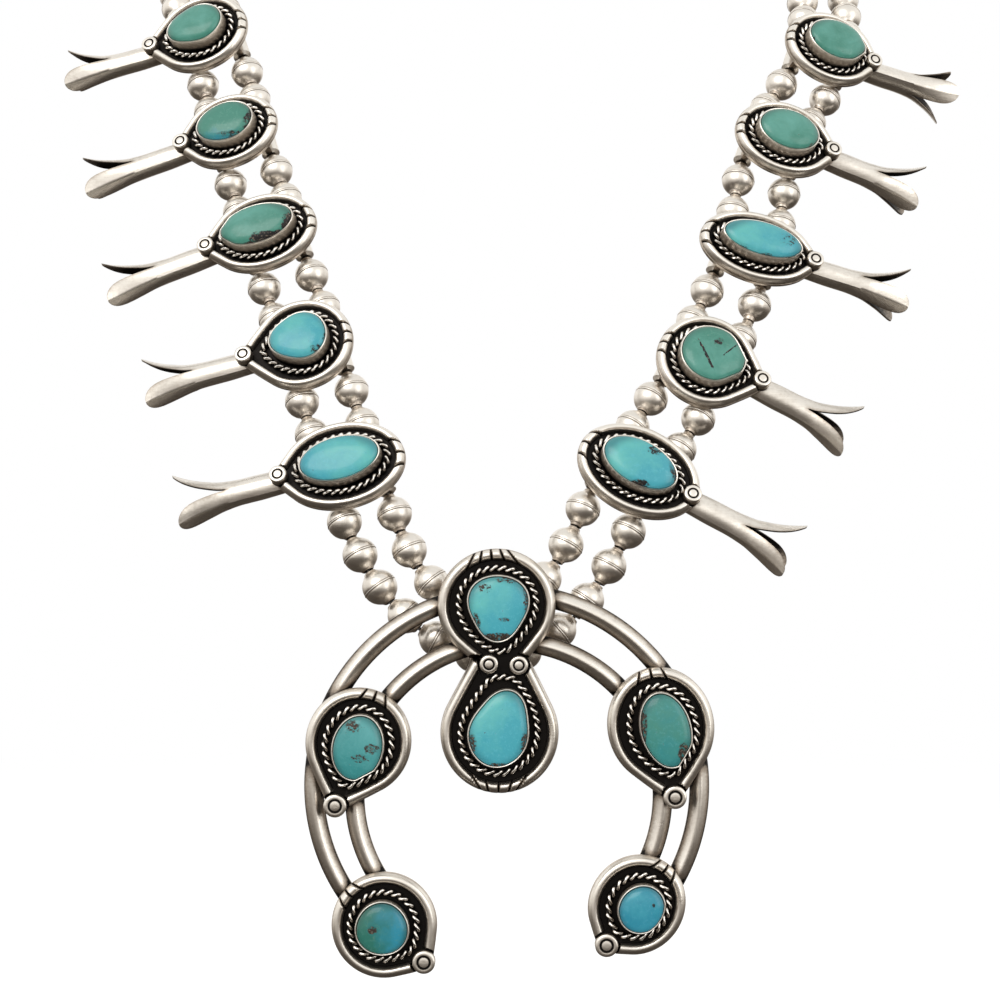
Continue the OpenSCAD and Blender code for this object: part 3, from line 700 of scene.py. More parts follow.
def shade_rope(mesh: bpy.types.Mesh, place: Matrix, middle: float) -> bpy.types.Mesh:
    """Paint shade on the lower half of a rope wire and leave its top bright as a painted highlight, measured
    from the height of its middle.
    """
    flat = place.inverted()
    for point, dark in zip(mesh.vertices, mesh.attributes["tarnish"].data):
        high = (flat @ (point.co / MM)).z - middle
        # Painted shade below the wire's top and a painted highlight along its top.
        share = min(1.0, max(0.0, (high - LIT_TOP_FROM) / LIT_TOP_OVER))
        dark.value = max(dark.value, 1.0 - share * share * (3 - 2 * share))
    return mesh


def path_mesh(name: str, points: Sequence[Vector], closed: bool) -> bpy.types.Mesh:
    """A mesh of edges through points given in millimetres."""
    edges = [(i, i + 1) for i in range(len(points) - 1)] + ([(len(points) - 1, 0)] if closed else [])
    mesh = bpy.data.meshes.new(name)
    mesh.from_pydata([p * MM for p in points], edges, [])
    return mesh


def joined(name: str, meshes: Sequence[bpy.types.Mesh]) -> bpy.types.Mesh:
    """Several meshes of one material as one mesh."""
    verts: list[tuple[float, ...]] = []
    faces: list[tuple[int, ...]] = []
    dark: list[float] = []
    for mesh in meshes:
        first = len(verts)
        verts += [tuple(v.co) for v in mesh.vertices]
        faces += [tuple(first + i for i in p.vertices) for p in mesh.polygons]
        dark += [d.value for d in mesh.attributes["tarnish"].data]
    whole = bpy.data.meshes.new(name)
    whole.from_pydata(verts, [], faces)
    whole.attributes.new("tarnish", "FLOAT", "POINT").data.foreach_set("value", dark)
    whole.materials.append(meshes[0].materials[0])
    whole.shade_smooth()
    return whole


# Settings

# A groove across a rim: half its width, its depth, and how much its lean grows with its angle
NOTCH_HALF, NOTCH_DEEP, NOTCH_LEAN = 0.34, 0.8, 1.3
# The waist's groove: its depth under the rim's crown and how steeply its sides rise
WAIST_DEEP, WAIST_RISE = 1.6, 1.9
# The gap between a button and its well's wall, and how thick that wall's step is
WELL_GAP, WELL_STEP = 0.35, 0.1


@dataclass(frozen=True)
class Setting:
    """A stone setting: plate, rim wire, floor, rope wire and bezel, in its own plane."""

    plate: Outline
    stone: StoneForm
    rim: float
    place: Matrix
    notches: tuple[float, ...]
    wells: tuple[tuple[float, float], ...]
    waist: tuple[Matrix, float, float] | None = None
    button: float = 3.9

    def angles(self) -> list[float]:
        """Angles of the points round the setting, closer together at the tip and at the grooves."""
        found = {round(360 * i / 132, 3) for i in range(132)}
        found |= {round(a % 360, 3) for a in (k * 1.2 for k in range(-18, 19))}
        for k in range(-48, 49):
            if self.notches and abs(k * 0.7) < self.notches[-1] - 180 + 7:
                found.add(round(180 + k * 0.7, 3))
        if self.waist:
            found |= {round(a % 360, 3) for a in (k * 1.3 for k in range(-45, 46))}
        return [math.radians(a) for a in sorted(found)]

    def rows(self) -> list[tuple[bool, float, float, float]]:
        """The section from the back to the seat: if it follows the plate, its inset, height and darkness."""
        w, half = self.rim, self.rim / 2
        rows = [(True, 0.0, 0.0, 0.4), (True, 0.0, 0.55, 0.3), (True, 0.05, 0.72, 0.45),
                (True, 0.2, 0.8, 0.8), (True, 0.06, 0.95, 0.5)]
        for k in range(13):
            x = math.sin(math.pi / 12 * (k - 6))
            high = 1.2 + (SIZES.rim_high - 1.2) * (1 - abs(x) ** (2.2 if x < 0 else 3.6))
            rows.append((True, half + x * (half - 0.03), high, 0.42 * abs(x) ** 5))
        rows += [(True, w, SIZES.plate + 0.1, 0.95), (True, w + 0.12, SIZES.plate, 1.0),
                 (True, w + SIZES.rope_gap + SIZES.rope + 0.02, SIZES.plate, 1.0)]
        wall, top = SIZES.wall, SIZES.bezel_top
        rows += [(False, wall + 0.02, SIZES.plate + 0.05, 1.0), (False, wall, 1.6, 0.9),
                 (False, wall, 2.6, 0.62), (False, wall - 0.01, 3.7, 0.42), (False, wall - 0.03, 4.6, 0.3),
                 (False, wall * 0.8, top - 0.1, 0.1), (False, wall * 0.55, top, 0.0),
                 (False, SIZES.fit + 0.04, top - 0.05, 0.25), (False, SIZES.fit, SIZES.seat, 1.0)]
        return rows

    def shaped(self, p: Vector, dark: float, on_rim: bool) -> tuple[Vector, float]:
        """Cut the grooves, the wells round the buttons and the waist into a point of the section."""
        floor = SIZES.plate
        if on_rim and p.z > 1.0:
            for notch in self.notches:
                at, lean = math.radians(notch), math.radians(180 - NOTCH_LEAN * (notch - 180))
                far = self.plate.radius(at) - self.rim / 2
                x, y = p.x - far * math.cos(at), p.y - far * math.sin(at)
                side = abs(x * math.sin(lean) - y * math.cos(lean))
                if side < NOTCH_HALF and math.hypot(x, y) < self.rim:
                    cut = 1 - side / NOTCH_HALF
                    p = Vector((p.x, p.y, max(floor, p.z - NOTCH_DEEP * cut)))
                    dark = max(dark, min(1.0, 1.25 * cut))
        if self.waist:
            drop, line, way = self.waist
            q = drop @ p
            from_line = (q.y - line) * way
            if from_line < 0:
                q.y = line
            low = SIZES.rim_high - WAIST_DEEP + max(0.0, from_line) * WAIST_RISE
            if q.z > low and p.z < 3.0 and on_rim:
                q.z, dark = low, 0.95
            p = drop.inverted() @ q
        if p.z > floor:
            for x, y in self.wells:
                near = math.hypot(p.x - x, p.y - y) - self.button / 2 - WELL_GAP
                if near < WELL_STEP and p.z < 3.2:
                    share = max(0.0, near / WELL_STEP)
                    p, dark = Vector((p.x, p.y, floor + (p.z - floor) * share)), 1.0
        return p, dark

    def build(self, draft: Draft) -> None:
        """Add the setting's skin."""
        rings, shades = [], []
        angles = self.angles()
        for on_plate, offset, high, dark in self.rows():
            ring, shade = [], []
            outline = self.plate.inset(offset) if on_plate and offset else self.plate
            for angle in angles:
                if on_plate:
                    r = outline.radius(angle)
                    x, y = r * math.cos(angle), r * math.sin(angle)
                else:
                    x, y = self.stone.at(angle, offset)
                p, d = self.shaped(Vector((x, y, high)), dark, on_plate)
                ring.append(self.place @ p)
                shade.append(d)
            rings.append(ring)
            shades.append(shade)
        draft.loft(rings, shades)

    def rope_path(self) -> list[Vector]:
        """The middle of the rope wire, closed, rounded at the tip and kept inside the waist."""
        outline = self.plate.inset(self.rim + SIZES.rope_gap + SIZES.rope / 2)
        count, ring = 180, []
        for i in range(count):
            angle = 2 * math.pi * i / count
            r = outline.radius(angle)
            by_stone = Vector(self.stone.at(angle, SIZES.wall + 0.92))
            flat = Vector((r * math.cos(angle), r * math.sin(angle))).lerp(by_stone, 0.5)
            p = Vector((flat.x, flat.y, SIZES.plate + ROPE_OVER))
            if self.waist:
                drop, line, way = self.waist
                q = drop @ p
                room = 1.35 if way > 0 else 3.9
                if (q.y - line) * way < room:
                    q.y = line + way * room
                p = drop.inverted() @ q
            ring.append(p)
        for _ in range(14):
            ring = [(ring[i - 1] + ring[i] * 2 + ring[(i + 1) % count]) / 4 for i in range(count)]
        return [self.place @ p for p in ring]

    def stone_mesh(self, name: str, material: bpy.types.Material) -> bpy.types.Mesh:
        """The stone: straight sides in the bezel and a smooth dome above it."""
        draft, count = Draft(), 96
        centre = Vector((self.stone.x, self.stone.y, 0))
        rows = [(1.0, SIZES.seat + SIZES.fit), (1.0, SIZES.bezel_top - 0.3)]
        for share in (1.0, 0.985, 0.95, 0.9, 0.83, 0.74, 0.63, 0.5, 0.36, 0.2, 0.07):
            rise = math.sqrt(max(0.0, 1 - share ** 3.2))
            rows.append((share, SIZES.bezel_top - 0.05 + SIZES.dome * rise))
        rings = []
        for share, high in rows:
            ring = []
            for i in range(count):
                x, y = self.stone.at(2 * math.pi * i / count, 0.0)
                p = centre + (Vector((x, y, 0)) - centre) * share
                ring.append(self.place @ Vector((p.x, p.y, high)))
            rings.append(ring)
        draft.loft(rings, [[0.0] * count] * len(rings))
        mesh = draft.mesh(name, material, 60)
        flat = [(p.x, p.z) for p in draft.points]
        low = [min(c[k] for c in flat) for k in (0, 1)]
        top = [max(c[k] for c in flat) for k in (0, 1)]
        own = []
        for c in flat:
            own += [2 * (c[k] - low[k]) / (top[k] - low[k]) - 1 for k in (0, 1)] + [0.0]
        mesh.attributes.new("place", "FLOAT_VECTOR", "POINT").data.foreach_set("vector", own)
        return mesh


def make_stone(plate: Outline, rim: float, share: tuple[float, float], shift: tuple[float, float],
               form: tuple[float, float, float]) -> StoneForm:
    """A stone's form in the room that a setting leaves it.

    Args:
        plate: the setting's outline.
        rim: the width of its rim wire.
        share: how much of the room's length and width it fills.
        shift: its offset in half plate lengths.
        form: egg shape, three-cornered shape and turn in degrees.

    Returns:
        The form.
    """
    room = plate.inset(rim + SIZES.rope_gap + SIZES.rope + SIZES.foot_gap)
    x, y = (part * plate.long for part in shift)
    egg, tri, turn = form
    return StoneForm(share[0] * (room.long - SIZES.wall + x), share[1] * (room.wide - SIZES.wall),
                     egg, tri, math.radians(turn), x, y, room)


def plate_outline(at: "BlossomPlace | DropPlace", long: float, wide: float) -> tuple[Outline, float]:
    """A plate's outline from its shares of a length and a width, and how far out its button is."""
    half = at.long * long / 2
    button = at.at_button * half
    return Outline(half, at.wide * wide / 2, button + SIZES.tip_past), button


def add_button(draft: Draft, place: Matrix, wide: float) -> None:
    """A button of a diameter with its stamped ring, from inside the plate to its face."""
    r, top = wide / 2, SIZES.button_high
    profile = [(r * 0.9, 0.5, 1.0), (r, 0.9, 1.0), (r, 1.5, 0.6), (r, top - 0.45, 0.3),
               (r - 0.06, top - 0.18, 0.1), (r - 0.22, top - 0.04, 0.0), (r * 0.72, top, 0.0),
               (r * 0.64, top - 0.02, 0.25), (r * 0.585, top - 0.24, 1.0), (r * 0.47, top - 0.24, 1.0),
               (r * 0.42, top - 0.03, 0.25), (r * 0.33, top + 0.02, 0.0), (r * 0.12, top + 0.03, 0.05)]
    draft.lathe(profile, place, 40)


def add_tube(draft: Draft, place: Matrix, long: float, back: float) -> None:
    """A bored tube along the local Y behind a plate, with the web that carries it."""
    half, outer, bore = long / 2, SIZES.tube / 2, SIZES.bore / 2
    profile = [(bore, -half, 0.7), (outer - 0.7, -half, 0.12), (outer, -half + 0.6, 0.0), (outer, 0, 0.1),
               (outer, half - 0.6, 0.0), (outer - 0.7, half, 0.12), (bore, half, 0.7)]
    draft.lathe(profile, place @ moved(0, 0, -back, 90, "X"), 28, looped=True)
    web = SIZES.tube / 6
    rings = []
    for y in (-half, half):
        rings.append([place @ Vector((x, y, z)) for x, z in
                      ((-web, -back), (web, -back), (web, SIZES.plate / 3), (-web, SIZES.plate / 3))])
    draft.loft(rings, [[0.6] * 4] * 2)


# Blossoms

def chest_depth(x: float, high: float) -> float:
    """How far back the chest's surface is at a place of the front."""
    rise = math.hypot(high, SIZES.chest_bend) - SIZES.chest_bend
    return SIZES.chest_lean * rise + x * x / (2 * SIZES.chest_round)


@dataclass(frozen=True)
class BlossomPlace:
    """Where a blossom lies on the chest and its shares of the common sizes, as in the CAD."""

    side: int
    x: float
    high: float
    droop: float
    long: float
    wide: float
    at_button: float
    stone_long: float
    stone_wide: float
    stone_x: float
    egg: float
    tri: float
    stone_turn: float
    flower_turn: float
    flower_roll: float
    flower_long: float
    tubes: float

    def axes(self) -> tuple[Vector, Vector, Vector]:
        """The stem's way, the way across it and the way that the plate faces."""
        slope = SIZES.chest_lean * self.high / math.hypot(self.high, SIZES.chest_bend)
        aside = self.x / SIZES.chest_round
        face = Vector((aside, -1, slope)).normalized()
        out = Vector((1, aside, 0)).normalized() * self.side
        up = face.cross(out) * self.side
        droop = math.radians(self.droop)
        stem = math.cos(droop) * out - math.sin(droop) * up
        return stem, face.cross(stem), face

    def matrix(self) -> Matrix:
        """From the blossom's own plane to the row frame, in millimetres."""
        stem, across, face = self.axes()
        centre = Vector((self.x, chest_depth(self.x, self.high), self.high)) + SIZES.string_back * face + WORN
        made = Matrix.Identity(4)
        for k, axis in enumerate((stem, across, face, centre)):
            for i in range(3):
                made[i][k] = axis[i]
        return made

    def down(self) -> Vector:
        """The way that the strings run down behind the plate."""
        stem, across, _ = self.axes()
        turn = math.radians(self.tubes)
        return self.side * (math.sin(turn) * stem - math.cos(turn) * across)

    def string_at(self, strand: Strand) -> Vector:
        """Where a string passes behind the plate, in the row frame."""
        return self.matrix() @ Vector((STRING_X[strand.value], 0, -SIZES.string_back))


STRING_X = (-0.27 * SIZES.disc_long, 0.18 * SIZES.disc_long)
BLOSSOMS = [BlossomPlace(*row) for row in (
    (-1, -71.8, 133.9, 15, 0.92, 1.05, 1.1, 1, 0.92, 0.04, -0.07, 0.04, 5, 1, 12, 0.97, 12),
    (-1, -63.4, 108.4, 17, 0.91, 0.98, 1.03, 1, 0.97, -0.01, 0, 0.02, 0, -3, 12, 1.08, 7),
    (-1, -54.5, 83.2, 17, 1, 0.99, 1.06, 1, 0.9, 0.03, 0, 0, 0, -5, 12, 1.09, 7),
    (-1, -44.5, 57, 14, 0.9, 1.1, 1.17, 1, 0.97, 0.05, -0.11, 0.05, 0, -2, 9, 1.02, 9),
    (-1, -35, 30.5, 12, 1.09, 1, 1.02, 0.94, 0.88, 0, 0, 0, 3, -3, 6, 1.01, 12),
    (1, 75, 130.2, 20, 0.9, 1, 0.96, 1, 0.98, 0.04, -0.03, 0, 0, 3, 30, 0.95, -6),
    (1, 62.4, 106.4, 17, 0.94, 0.99, 0.99, 0.99, 0.98, 0, -0.02, 0, 0, -6, 2, 1, -10),
    (1, 54.7, 79.6, 16, 1.07, 0.9, 0.99, 1, 0.94, 0.01, 0, 0, 0, -2, 12, 1.01, -9),
    (1, 42.2, 53.2, 24, 0.89, 1.12, 1.14, 1, 0.98, 0.05, 0, 0.01, 4, -6, -10, 1, -7),
    (1, 26.9, 29.3, 29, 1.1, 1, 0.91, 0.94, 0.93, 0, -0.04, 0, -3, -1, -2, 1.09, -5))]


def between(rows: Sequence[tuple[float, float]], at: float) -> float:
    """A value read between the rows of a table by a straight line."""
    for (x0, y0), (x1, y1) in zip(rows, rows[1:]):
        if at <= x1:
            t = max(0.0, (at - x0) / (x1 - x0))
            return y0 + (y1 - y0) * t
    return rows[-1][1]


@dataclass(frozen=True)
class Flower:
    """The stem and its three petals: one skin outside and one inside, split between the petals."""

    long: float
    place: Matrix
    stem: float = 2.6
    spread: float = 7.0
    thick: float = 0.62
    hidden: float = 1.0
    columns: int = 16

    def radius(self, share: float) -> float:
        """The outer radius at a share of the length, smoothed between the CAD's rows."""
        table = [(-0.13, 0.86, 0.0), (0.2, 1.0, 0.0), (0.42, 1.0, 0.0), (0.6, 0.85, 0.12),
                 (0.78, 0.45, 0.46), (0.9, 0.2, 0.73), (1.0, 0.0, 1.0)]
        total = 0.0
        for shift, weight in ((-0.05, 0.25), (0.0, 0.5), (0.05, 0.25)):
            at = min(1.0, max(-0.13, share + shift * (1 - max(0.0, share - 0.95) / 0.05)))
            stem = between([(a, b) for a, b, _ in table], at)
            bell = between([(a, c) for a, _, c in table], at)
            total += weight * (stem * self.stem + bell * self.spread)
        return total

    def half_span(self, share: float) -> float:
        """Half the angle that a petal covers at a share of the length."""
        wide = between([(0.52, 2.85), (0.6, 2.9), (0.7, 3.0), (0.8, 3.05), (0.87, 2.95), (0.92, 2.65),
                        (0.955, 2.2), (0.98, 1.6), (0.993, 1.05), (1.0, 0.5)], share)
        return math.pi / 3 if share <= 0.52 else min(math.pi / 3, wide / self.radius(share))

    def build(self, draft: Draft) -> None:
        """Add the flower's skin."""
        shares = [-0.13 + 0.65 * k / 14 for k in range(15)] + [0.52 + 0.36 * k / 20 for k in range(1, 21)]
        shares += [0.88 + 0.12 * math.sin(math.pi / 2 * k / 12) for k in range(1, 13)]
        split = next(k for k, s in enumerate(shares) if s > 0.53)
        hollow = next(k for k, s in enumerate(shares) if s > 0.4)
        known: dict[tuple[int, int, int, int], int] = {}

        def corner(skin: int, row: int, petal: int, column: int) -> int:
            """The number of a point, shared by two petals where they aren't split yet."""
            if row < split and column == self.columns:
                petal, column = (petal + 1) % 3, 0
            key = (skin, row, petal, column)
            if key not in known:
                share = shares[row]
                across = 2 * column / self.columns - 1
                way = math.radians(60 + 120 * petal) + across * self.half_span(share)
                r = self.radius(share)
                if petal == 1:
                    r = self.stem + (r - self.stem) * self.hidden if r > self.stem else r
                ridge = 0.36 * math.exp(-abs(across * self.half_span(share) * r) / 0.75)
                edge = abs(across) ** 6
                if skin:
                    r -= self.thick * (1 - 0.45 * max(0.0, share - 0.5) / 0.5)
                    dark = 1.0 if share < 0.72 else 1.0 - 1.5 * (share - 0.72)
                else:
                    r += ridge * (1 - 0.4 * max(0.0, share))
                    dark = 0.13 + 0.5 * max(0.0, 0.12 - share) * 3 + (0.3 * edge if share > 0.5 else 0.0)
                known[key] = draft.point(self.place @ Vector((share * self.long, r * math.sin(way),
                                                              r * math.cos(way))), min(1.0, dark))
            return known[key]

        last = len(shares) - 1
        for petal in range(3):
            for column in range(self.columns):
                for row in range(last):
                    a, b = corner(0, row, petal, column), corner(0, row, petal, column + 1)
                    c, d = corner(0, row + 1, petal, column + 1), corner(0, row + 1, petal, column)
                    draft.faces.append((a, d, c, b))
                    if row >= hollow:
                        a, b = corner(1, row, petal, column), corner(1, row, petal, column + 1)
                        c, d = corner(1, row + 1, petal, column + 1), corner(1, row + 1, petal, column)
                        draft.faces.append((a, b, c, d))
                draft.faces.append((corner(0, last, petal, column), corner(1, last, petal, column),
                                    corner(1, last, petal, column + 1), corner(0, last, petal, column + 1)))
            for row in range(split - 1, last):
                for column in (0, self.columns):
                    a, b = corner(0, row, petal, column), corner(0, row + 1, petal, column)
                    c, d = corner(1, row + 1, petal, column), corner(1, row, petal, column)
                    draft.faces.append((a, d, c, b) if column else (a, b, c, d))
        for skin, row, flip in ((0, 0, False), (1, hollow, True)):
            middle = draft.point(self.place @ Vector((shares[row] * self.long, 0, 0)), 1.0)
            for petal in range(3):
                for column in range(self.columns):
                    a, b = corner(skin, row, petal, column), corner(skin, row, petal, column + 1)
                    draft.faces.append((b, a, middle) if flip else (a, b, middle))


@dataclass
class Blossom:
    """One stone-set blossom: setting, button, flower, tubes, rope wire and stone."""

    label: str
    at: BlossomPlace
    stone: TurquoiseFinish

    def setting(self) -> Setting:
        """The blossom's setting."""
        at = self.at
        plate, button = plate_outline(at, SIZES.disc_long, SIZES.disc_wide)
        stone = make_stone(plate, SIZES.rim, (at.stone_long, at.stone_wide), (at.stone_x, 0.0),
                           (at.egg, at.tri, at.stone_turn))
        return Setting(plate, stone, SIZES.rim, at.matrix(), (166.0, 180.0, 194.0), ((button, 0.0),))

    def build(self, silver: bpy.types.Material, rope: Pattern, wire: bpy.types.Material) -> None:
        """Make the blossom's pieces in the scene."""
        at, setting = self.at, self.setting()
        place, draft = at.matrix(), Draft()
        setting.build(draft)
        button = setting.wells[0][0]
        add_button(draft, place @ moved(button, 0), SIZES.button)
        stem = place @ moved(button, 0, -SIZES.flower_sink, at.side * at.flower_turn)
        stem = stem @ moved(0, 0, 0, -at.side * at.flower_roll, "X")
        Flower(at.flower_long * SIZES.flower, stem, hidden=0.3 if at.side < 0 else 1.0).build(draft)
        for x in STRING_X:
            add_tube(draft, place @ moved(x, 0, 0, at.tubes), SIZES.tube_long, SIZES.string_back)
        node = f"blossom_{self.label}"
        piece(f"{node}_silver", draft.mesh(node, silver), [node])
        twisted = rope.grow(f"{node}_rope", path_mesh("path", setting.rope_path(), True), Material=wire)
        piece(f"{node}_rope", shade_rope(twisted, place, SIZES.plate + ROPE_OVER), [node])
        piece(f"stone_{self.label}_dressed", setting.stone_mesh(f"stone_{self.label}", self.stone.material()),
              [f"stone_{self.label}"])


# Horseshoe drop

@dataclass(frozen=True)
class DropPlace:
    """Where a setting sits on the drop and its shares of the common sizes, as in the CAD."""

    node: str
    x: float
    y: float
    point: float
    long: float
    wide: float
    at_button: float
    stone_long: float
    stone_wide: float
    stone_x: float
    stone_y: float
    egg: float
    tri: float
    stone_turn: float
    notches: int
    button: int


DROP_SETS = [DropPlace(*row) for row in (
    ("stone_drop_top", -2.8, 38.7, -84, 1.07, 1.12, 1.27, 0.99, 0.9, 0.06, 0.02, -0.08, 0.07, -8, 5, 0),
    ("stone_drop_low", -2.2, 12.1, 89, 1.14, 1.12, 1.93, 0.97, 0.88, 0.14, -0.02, -0.11, 0.05, -16, 5, 0),
    ("stone_side_left", -31.6, 10.2, -110, 1.03, 1, 1.23, 0.9, 0.81, 0.07, 0.03, 0, 0, 8, 3, 1),
    ("stone_side_right", 31.4, 13.5, -79, 1.12, 1.01, 1.21, 0.94, 0.81, 0.08, 0.06, -0.04, 0, 4, 3, 1),
    ("stone_end_left", -26.2, -27.9, -42, 1, 1, 1.01, 0.88, 0.86, -0.01, -0.03, 0, 0.02, 10, 3, 1),
    ("stone_end_right", 26.4, -23.7, -128, 0.97, 0.9, 0.97, 0.86, 0.88, -0.02, 0.08, 0, 0, 0, 3, 1))]
WAIST_LINE = 27.7
WAIST_BUTTONS = ((-4.4, 26.5), (1.8, 26.3))
BANDS = ((SIZES.outer_band, (-0.7, 0.8)), (SIZES.inner_band, (-0.3, -1.2)))
# The angle between the grooves of a rim that has three of them or five
NOTCH_STEP = {3: 14.0, 5: 12.0}


@dataclass
class Naja:
    """The horseshoe drop: two bands, six settings, their buttons and stones, and the rings behind."""

    stones: dict[str, TurquoiseFinish]

    def place(self) -> Matrix:
        """From the drop's own plane to the row frame, in millimetres."""
        return moved(*(WORN + Vector((0, -SIZES.drop_back, -SIZES.drop_below))), 90, "X")

    def setting(self, index: int) -> Setting:
        """One of the drop's settings."""
        at = DROP_SETS[index]
        plate, button = plate_outline(at, SIZES.drop_set, SIZES.drop_set)
        stone = make_stone(plate, SIZES.drop_rim, (at.stone_long, at.stone_wide), (at.stone_x, at.stone_y),
                           (at.egg, at.tri, at.stone_turn))
        local = moved(at.x, at.y, 0, at.point)
        step = NOTCH_STEP[at.notches]
        notches = tuple(180 + (k - (at.notches - 1) / 2) * step for k in range(at.notches))
        wells: tuple[tuple[float, float], ...] = ((button, 0.0),)
        waist = None
        if not at.button:
            back = local.inverted()
            wells = tuple((back @ Vector((x, y, 0)))[:2] for x, y in WAIST_BUTTONS)
            waist = (local, WAIST_LINE, 1.0 if index == 0 else -1.0)
        return Setting(plate, stone, SIZES.drop_rim, self.place() @ local, notches, wells, waist,
                       SIZES.end_button if at.button else SIZES.button)

    def shade_beside_plates(self, p: Vector) -> float:
        """How near a point of the drop is to a plate's edge, where painted shade darkens the band, from 0 to
        1.
        """
        near = 9.0
        for at in DROP_SETS:
            plate, _ = plate_outline(at, SIZES.drop_set, SIZES.drop_set)
            x, y = p.x - at.x, p.y - at.y
            near = min(near, math.hypot(x, y) - plate.radius(math.atan2(y, x) - math.radians(at.point)))
        return max(0.0, 1 - max(0.0, near) / 2.4) ** 2

    def add_band(self, draft: Draft, radius: float, middle: tuple[float, float]) -> None:
        """One band from the right end setting over the top to the left one, with a soft ridge."""
        right, left = DROP_SETS[5], DROP_SETS[4]
        first = math.atan2(right.y - middle[1], right.x - middle[0])
        last = 2 * math.pi + math.atan2(left.y - middle[1], left.x - middle[0])
        half, low, top = SIZES.band / 2, -2.1, 0.7
        section = [(-half + 0.3, low, 0.5), (half - 0.3, low, 0.5), (half, low + 0.35, 0.5),
                   (half, low + 1.0, 0.42)]
        for k in range(11):
            x = 1 - k / 5
            high = low + 1.12 + (top - low - 1.12) * (1 - abs(x) ** 1.55)
            section.append((half * x * 0.985, high, 0.04 + 0.78 * abs(x) ** 3))
        section += [(-half, low + 1.0, 0.42), (-half, low + 0.35, 0.5)]
        rings, shades, place = [], [], self.place()
        for k in range(241):
            angle = first + (last - first) * k / 240
            ring, shade = [], []
            for x, z, dark in section:
                r = radius + x
                p = Vector((middle[0] + r * math.cos(angle), middle[1] + r * math.sin(angle), z))
                ring.append(place @ p)
                # Painted shade on the band's upper side next to each plate, where the rim shades it.
                shade.append(min(1.0, dark + (0.7 * self.shade_beside_plates(p) if z > -0.9 else 0.0)))
            rings.append(ring)
            shades.append(shade)
        draft.loft([list(reversed(r)) for r in rings], [list(reversed(s)) for s in shades])

    def build(self, silver: bpy.types.Material, rope: Pattern, wire: bpy.types.Material) -> None:
        """Make the drop's pieces in the scene."""
        draft, place = Draft(), self.place()
        for radius, middle in BANDS:
            self.add_band(draft, radius, middle)
        ropes = []
        for index, at in enumerate(DROP_SETS):
            setting = self.setting(index)
            setting.build(draft)
            path = path_mesh("path", setting.rope_path(), True)
            twisted = rope.grow(f"{at.node}_rope", path, Material=wire)
            ropes.append(shade_rope(twisted, setting.place, SIZES.plate + ROPE_OVER))
            if at.button:
                add_button(draft, setting.place @ moved(setting.wells[0][0], 0), SIZES.end_button)
            stone = setting.stone_mesh(at.node, self.stones[at.node].material())
            piece(f"{at.node}_dressed", stone, [at.node])
        for x, y in WAIST_BUTTONS:
            add_button(draft, place @ moved(x, y), SIZES.button)
        for x, y in DROP_RINGS:
            ring = place @ moved(x, SIZES.drop_below + y, 0, 90)
            add_tube(draft, ring, SIZES.ring_long, SIZES.drop_back)
        piece("naja_silver", draft.mesh("naja", silver), ["naja"])
        piece("naja_ropes", joined("naja_ropes", ropes), ["naja"])


# Strings

DROP_RINGS = ((-4.5, 0.3), (-2.5, -8.9))
DROP_PULL = {Side.LEFT: ((0.3, 1.4, 14), (1.2, 1.2, 12)), Side.RIGHT: ((0.3, 1.2, 16), (0.6, 1.2, 12))}
BACK_ROUTE = {
    Strand.INNER: ((72, 87, 152), (74, 105, 170), (69, 126, 186), (57, 145, 197), (39, 160, 204),
                   (20, 167, 207)),
    Strand.OUTER: ((83, 90, 150), (85.5, 110, 168), (79, 132, 184.5), (65, 152, 196), (44.5, 168, 203.5),
                   (22, 175.5, 207))}
CLASP_HALF, CLASP_PITCH, NAPE, SOCKET = 10.0, 8.4, Vector((0, 173, 207)), 4.0


def curve(p: Vector, q: Vector, leave: Vector, reach: Vector) -> list[Vector]:
    """A smooth curve between two points with a direction at each, without its last point."""
    made = []
    for k in range(8):
        u = k / 8
        v = 1 - u
        made.append(v * v * (1 + 2 * u) * p + u * v * v * leave + u * u * (3 - 2 * u) * q - u * u * v * reach)
    return made


def joints(path: Sequence[Vector]) -> list[Vector]:
    """The joints between the beads of a span, evenly spread, with both ends."""
    at = [0.0]
    for p, q in zip(path, path[1:]):
        at.append(at[-1] + (q - p).length)
    count = math.floor(at[-1] / SIZES.step)
    made, k = [], 0
    for i in range(count + 1):
        want = at[-1] * i / count
        while k < len(at) - 2 and at[k + 1] < want:
            k += 1
        made.append(path[k].lerp(path[k + 1], (want - at[k]) / (at[k + 1] - at[k])))
    return made


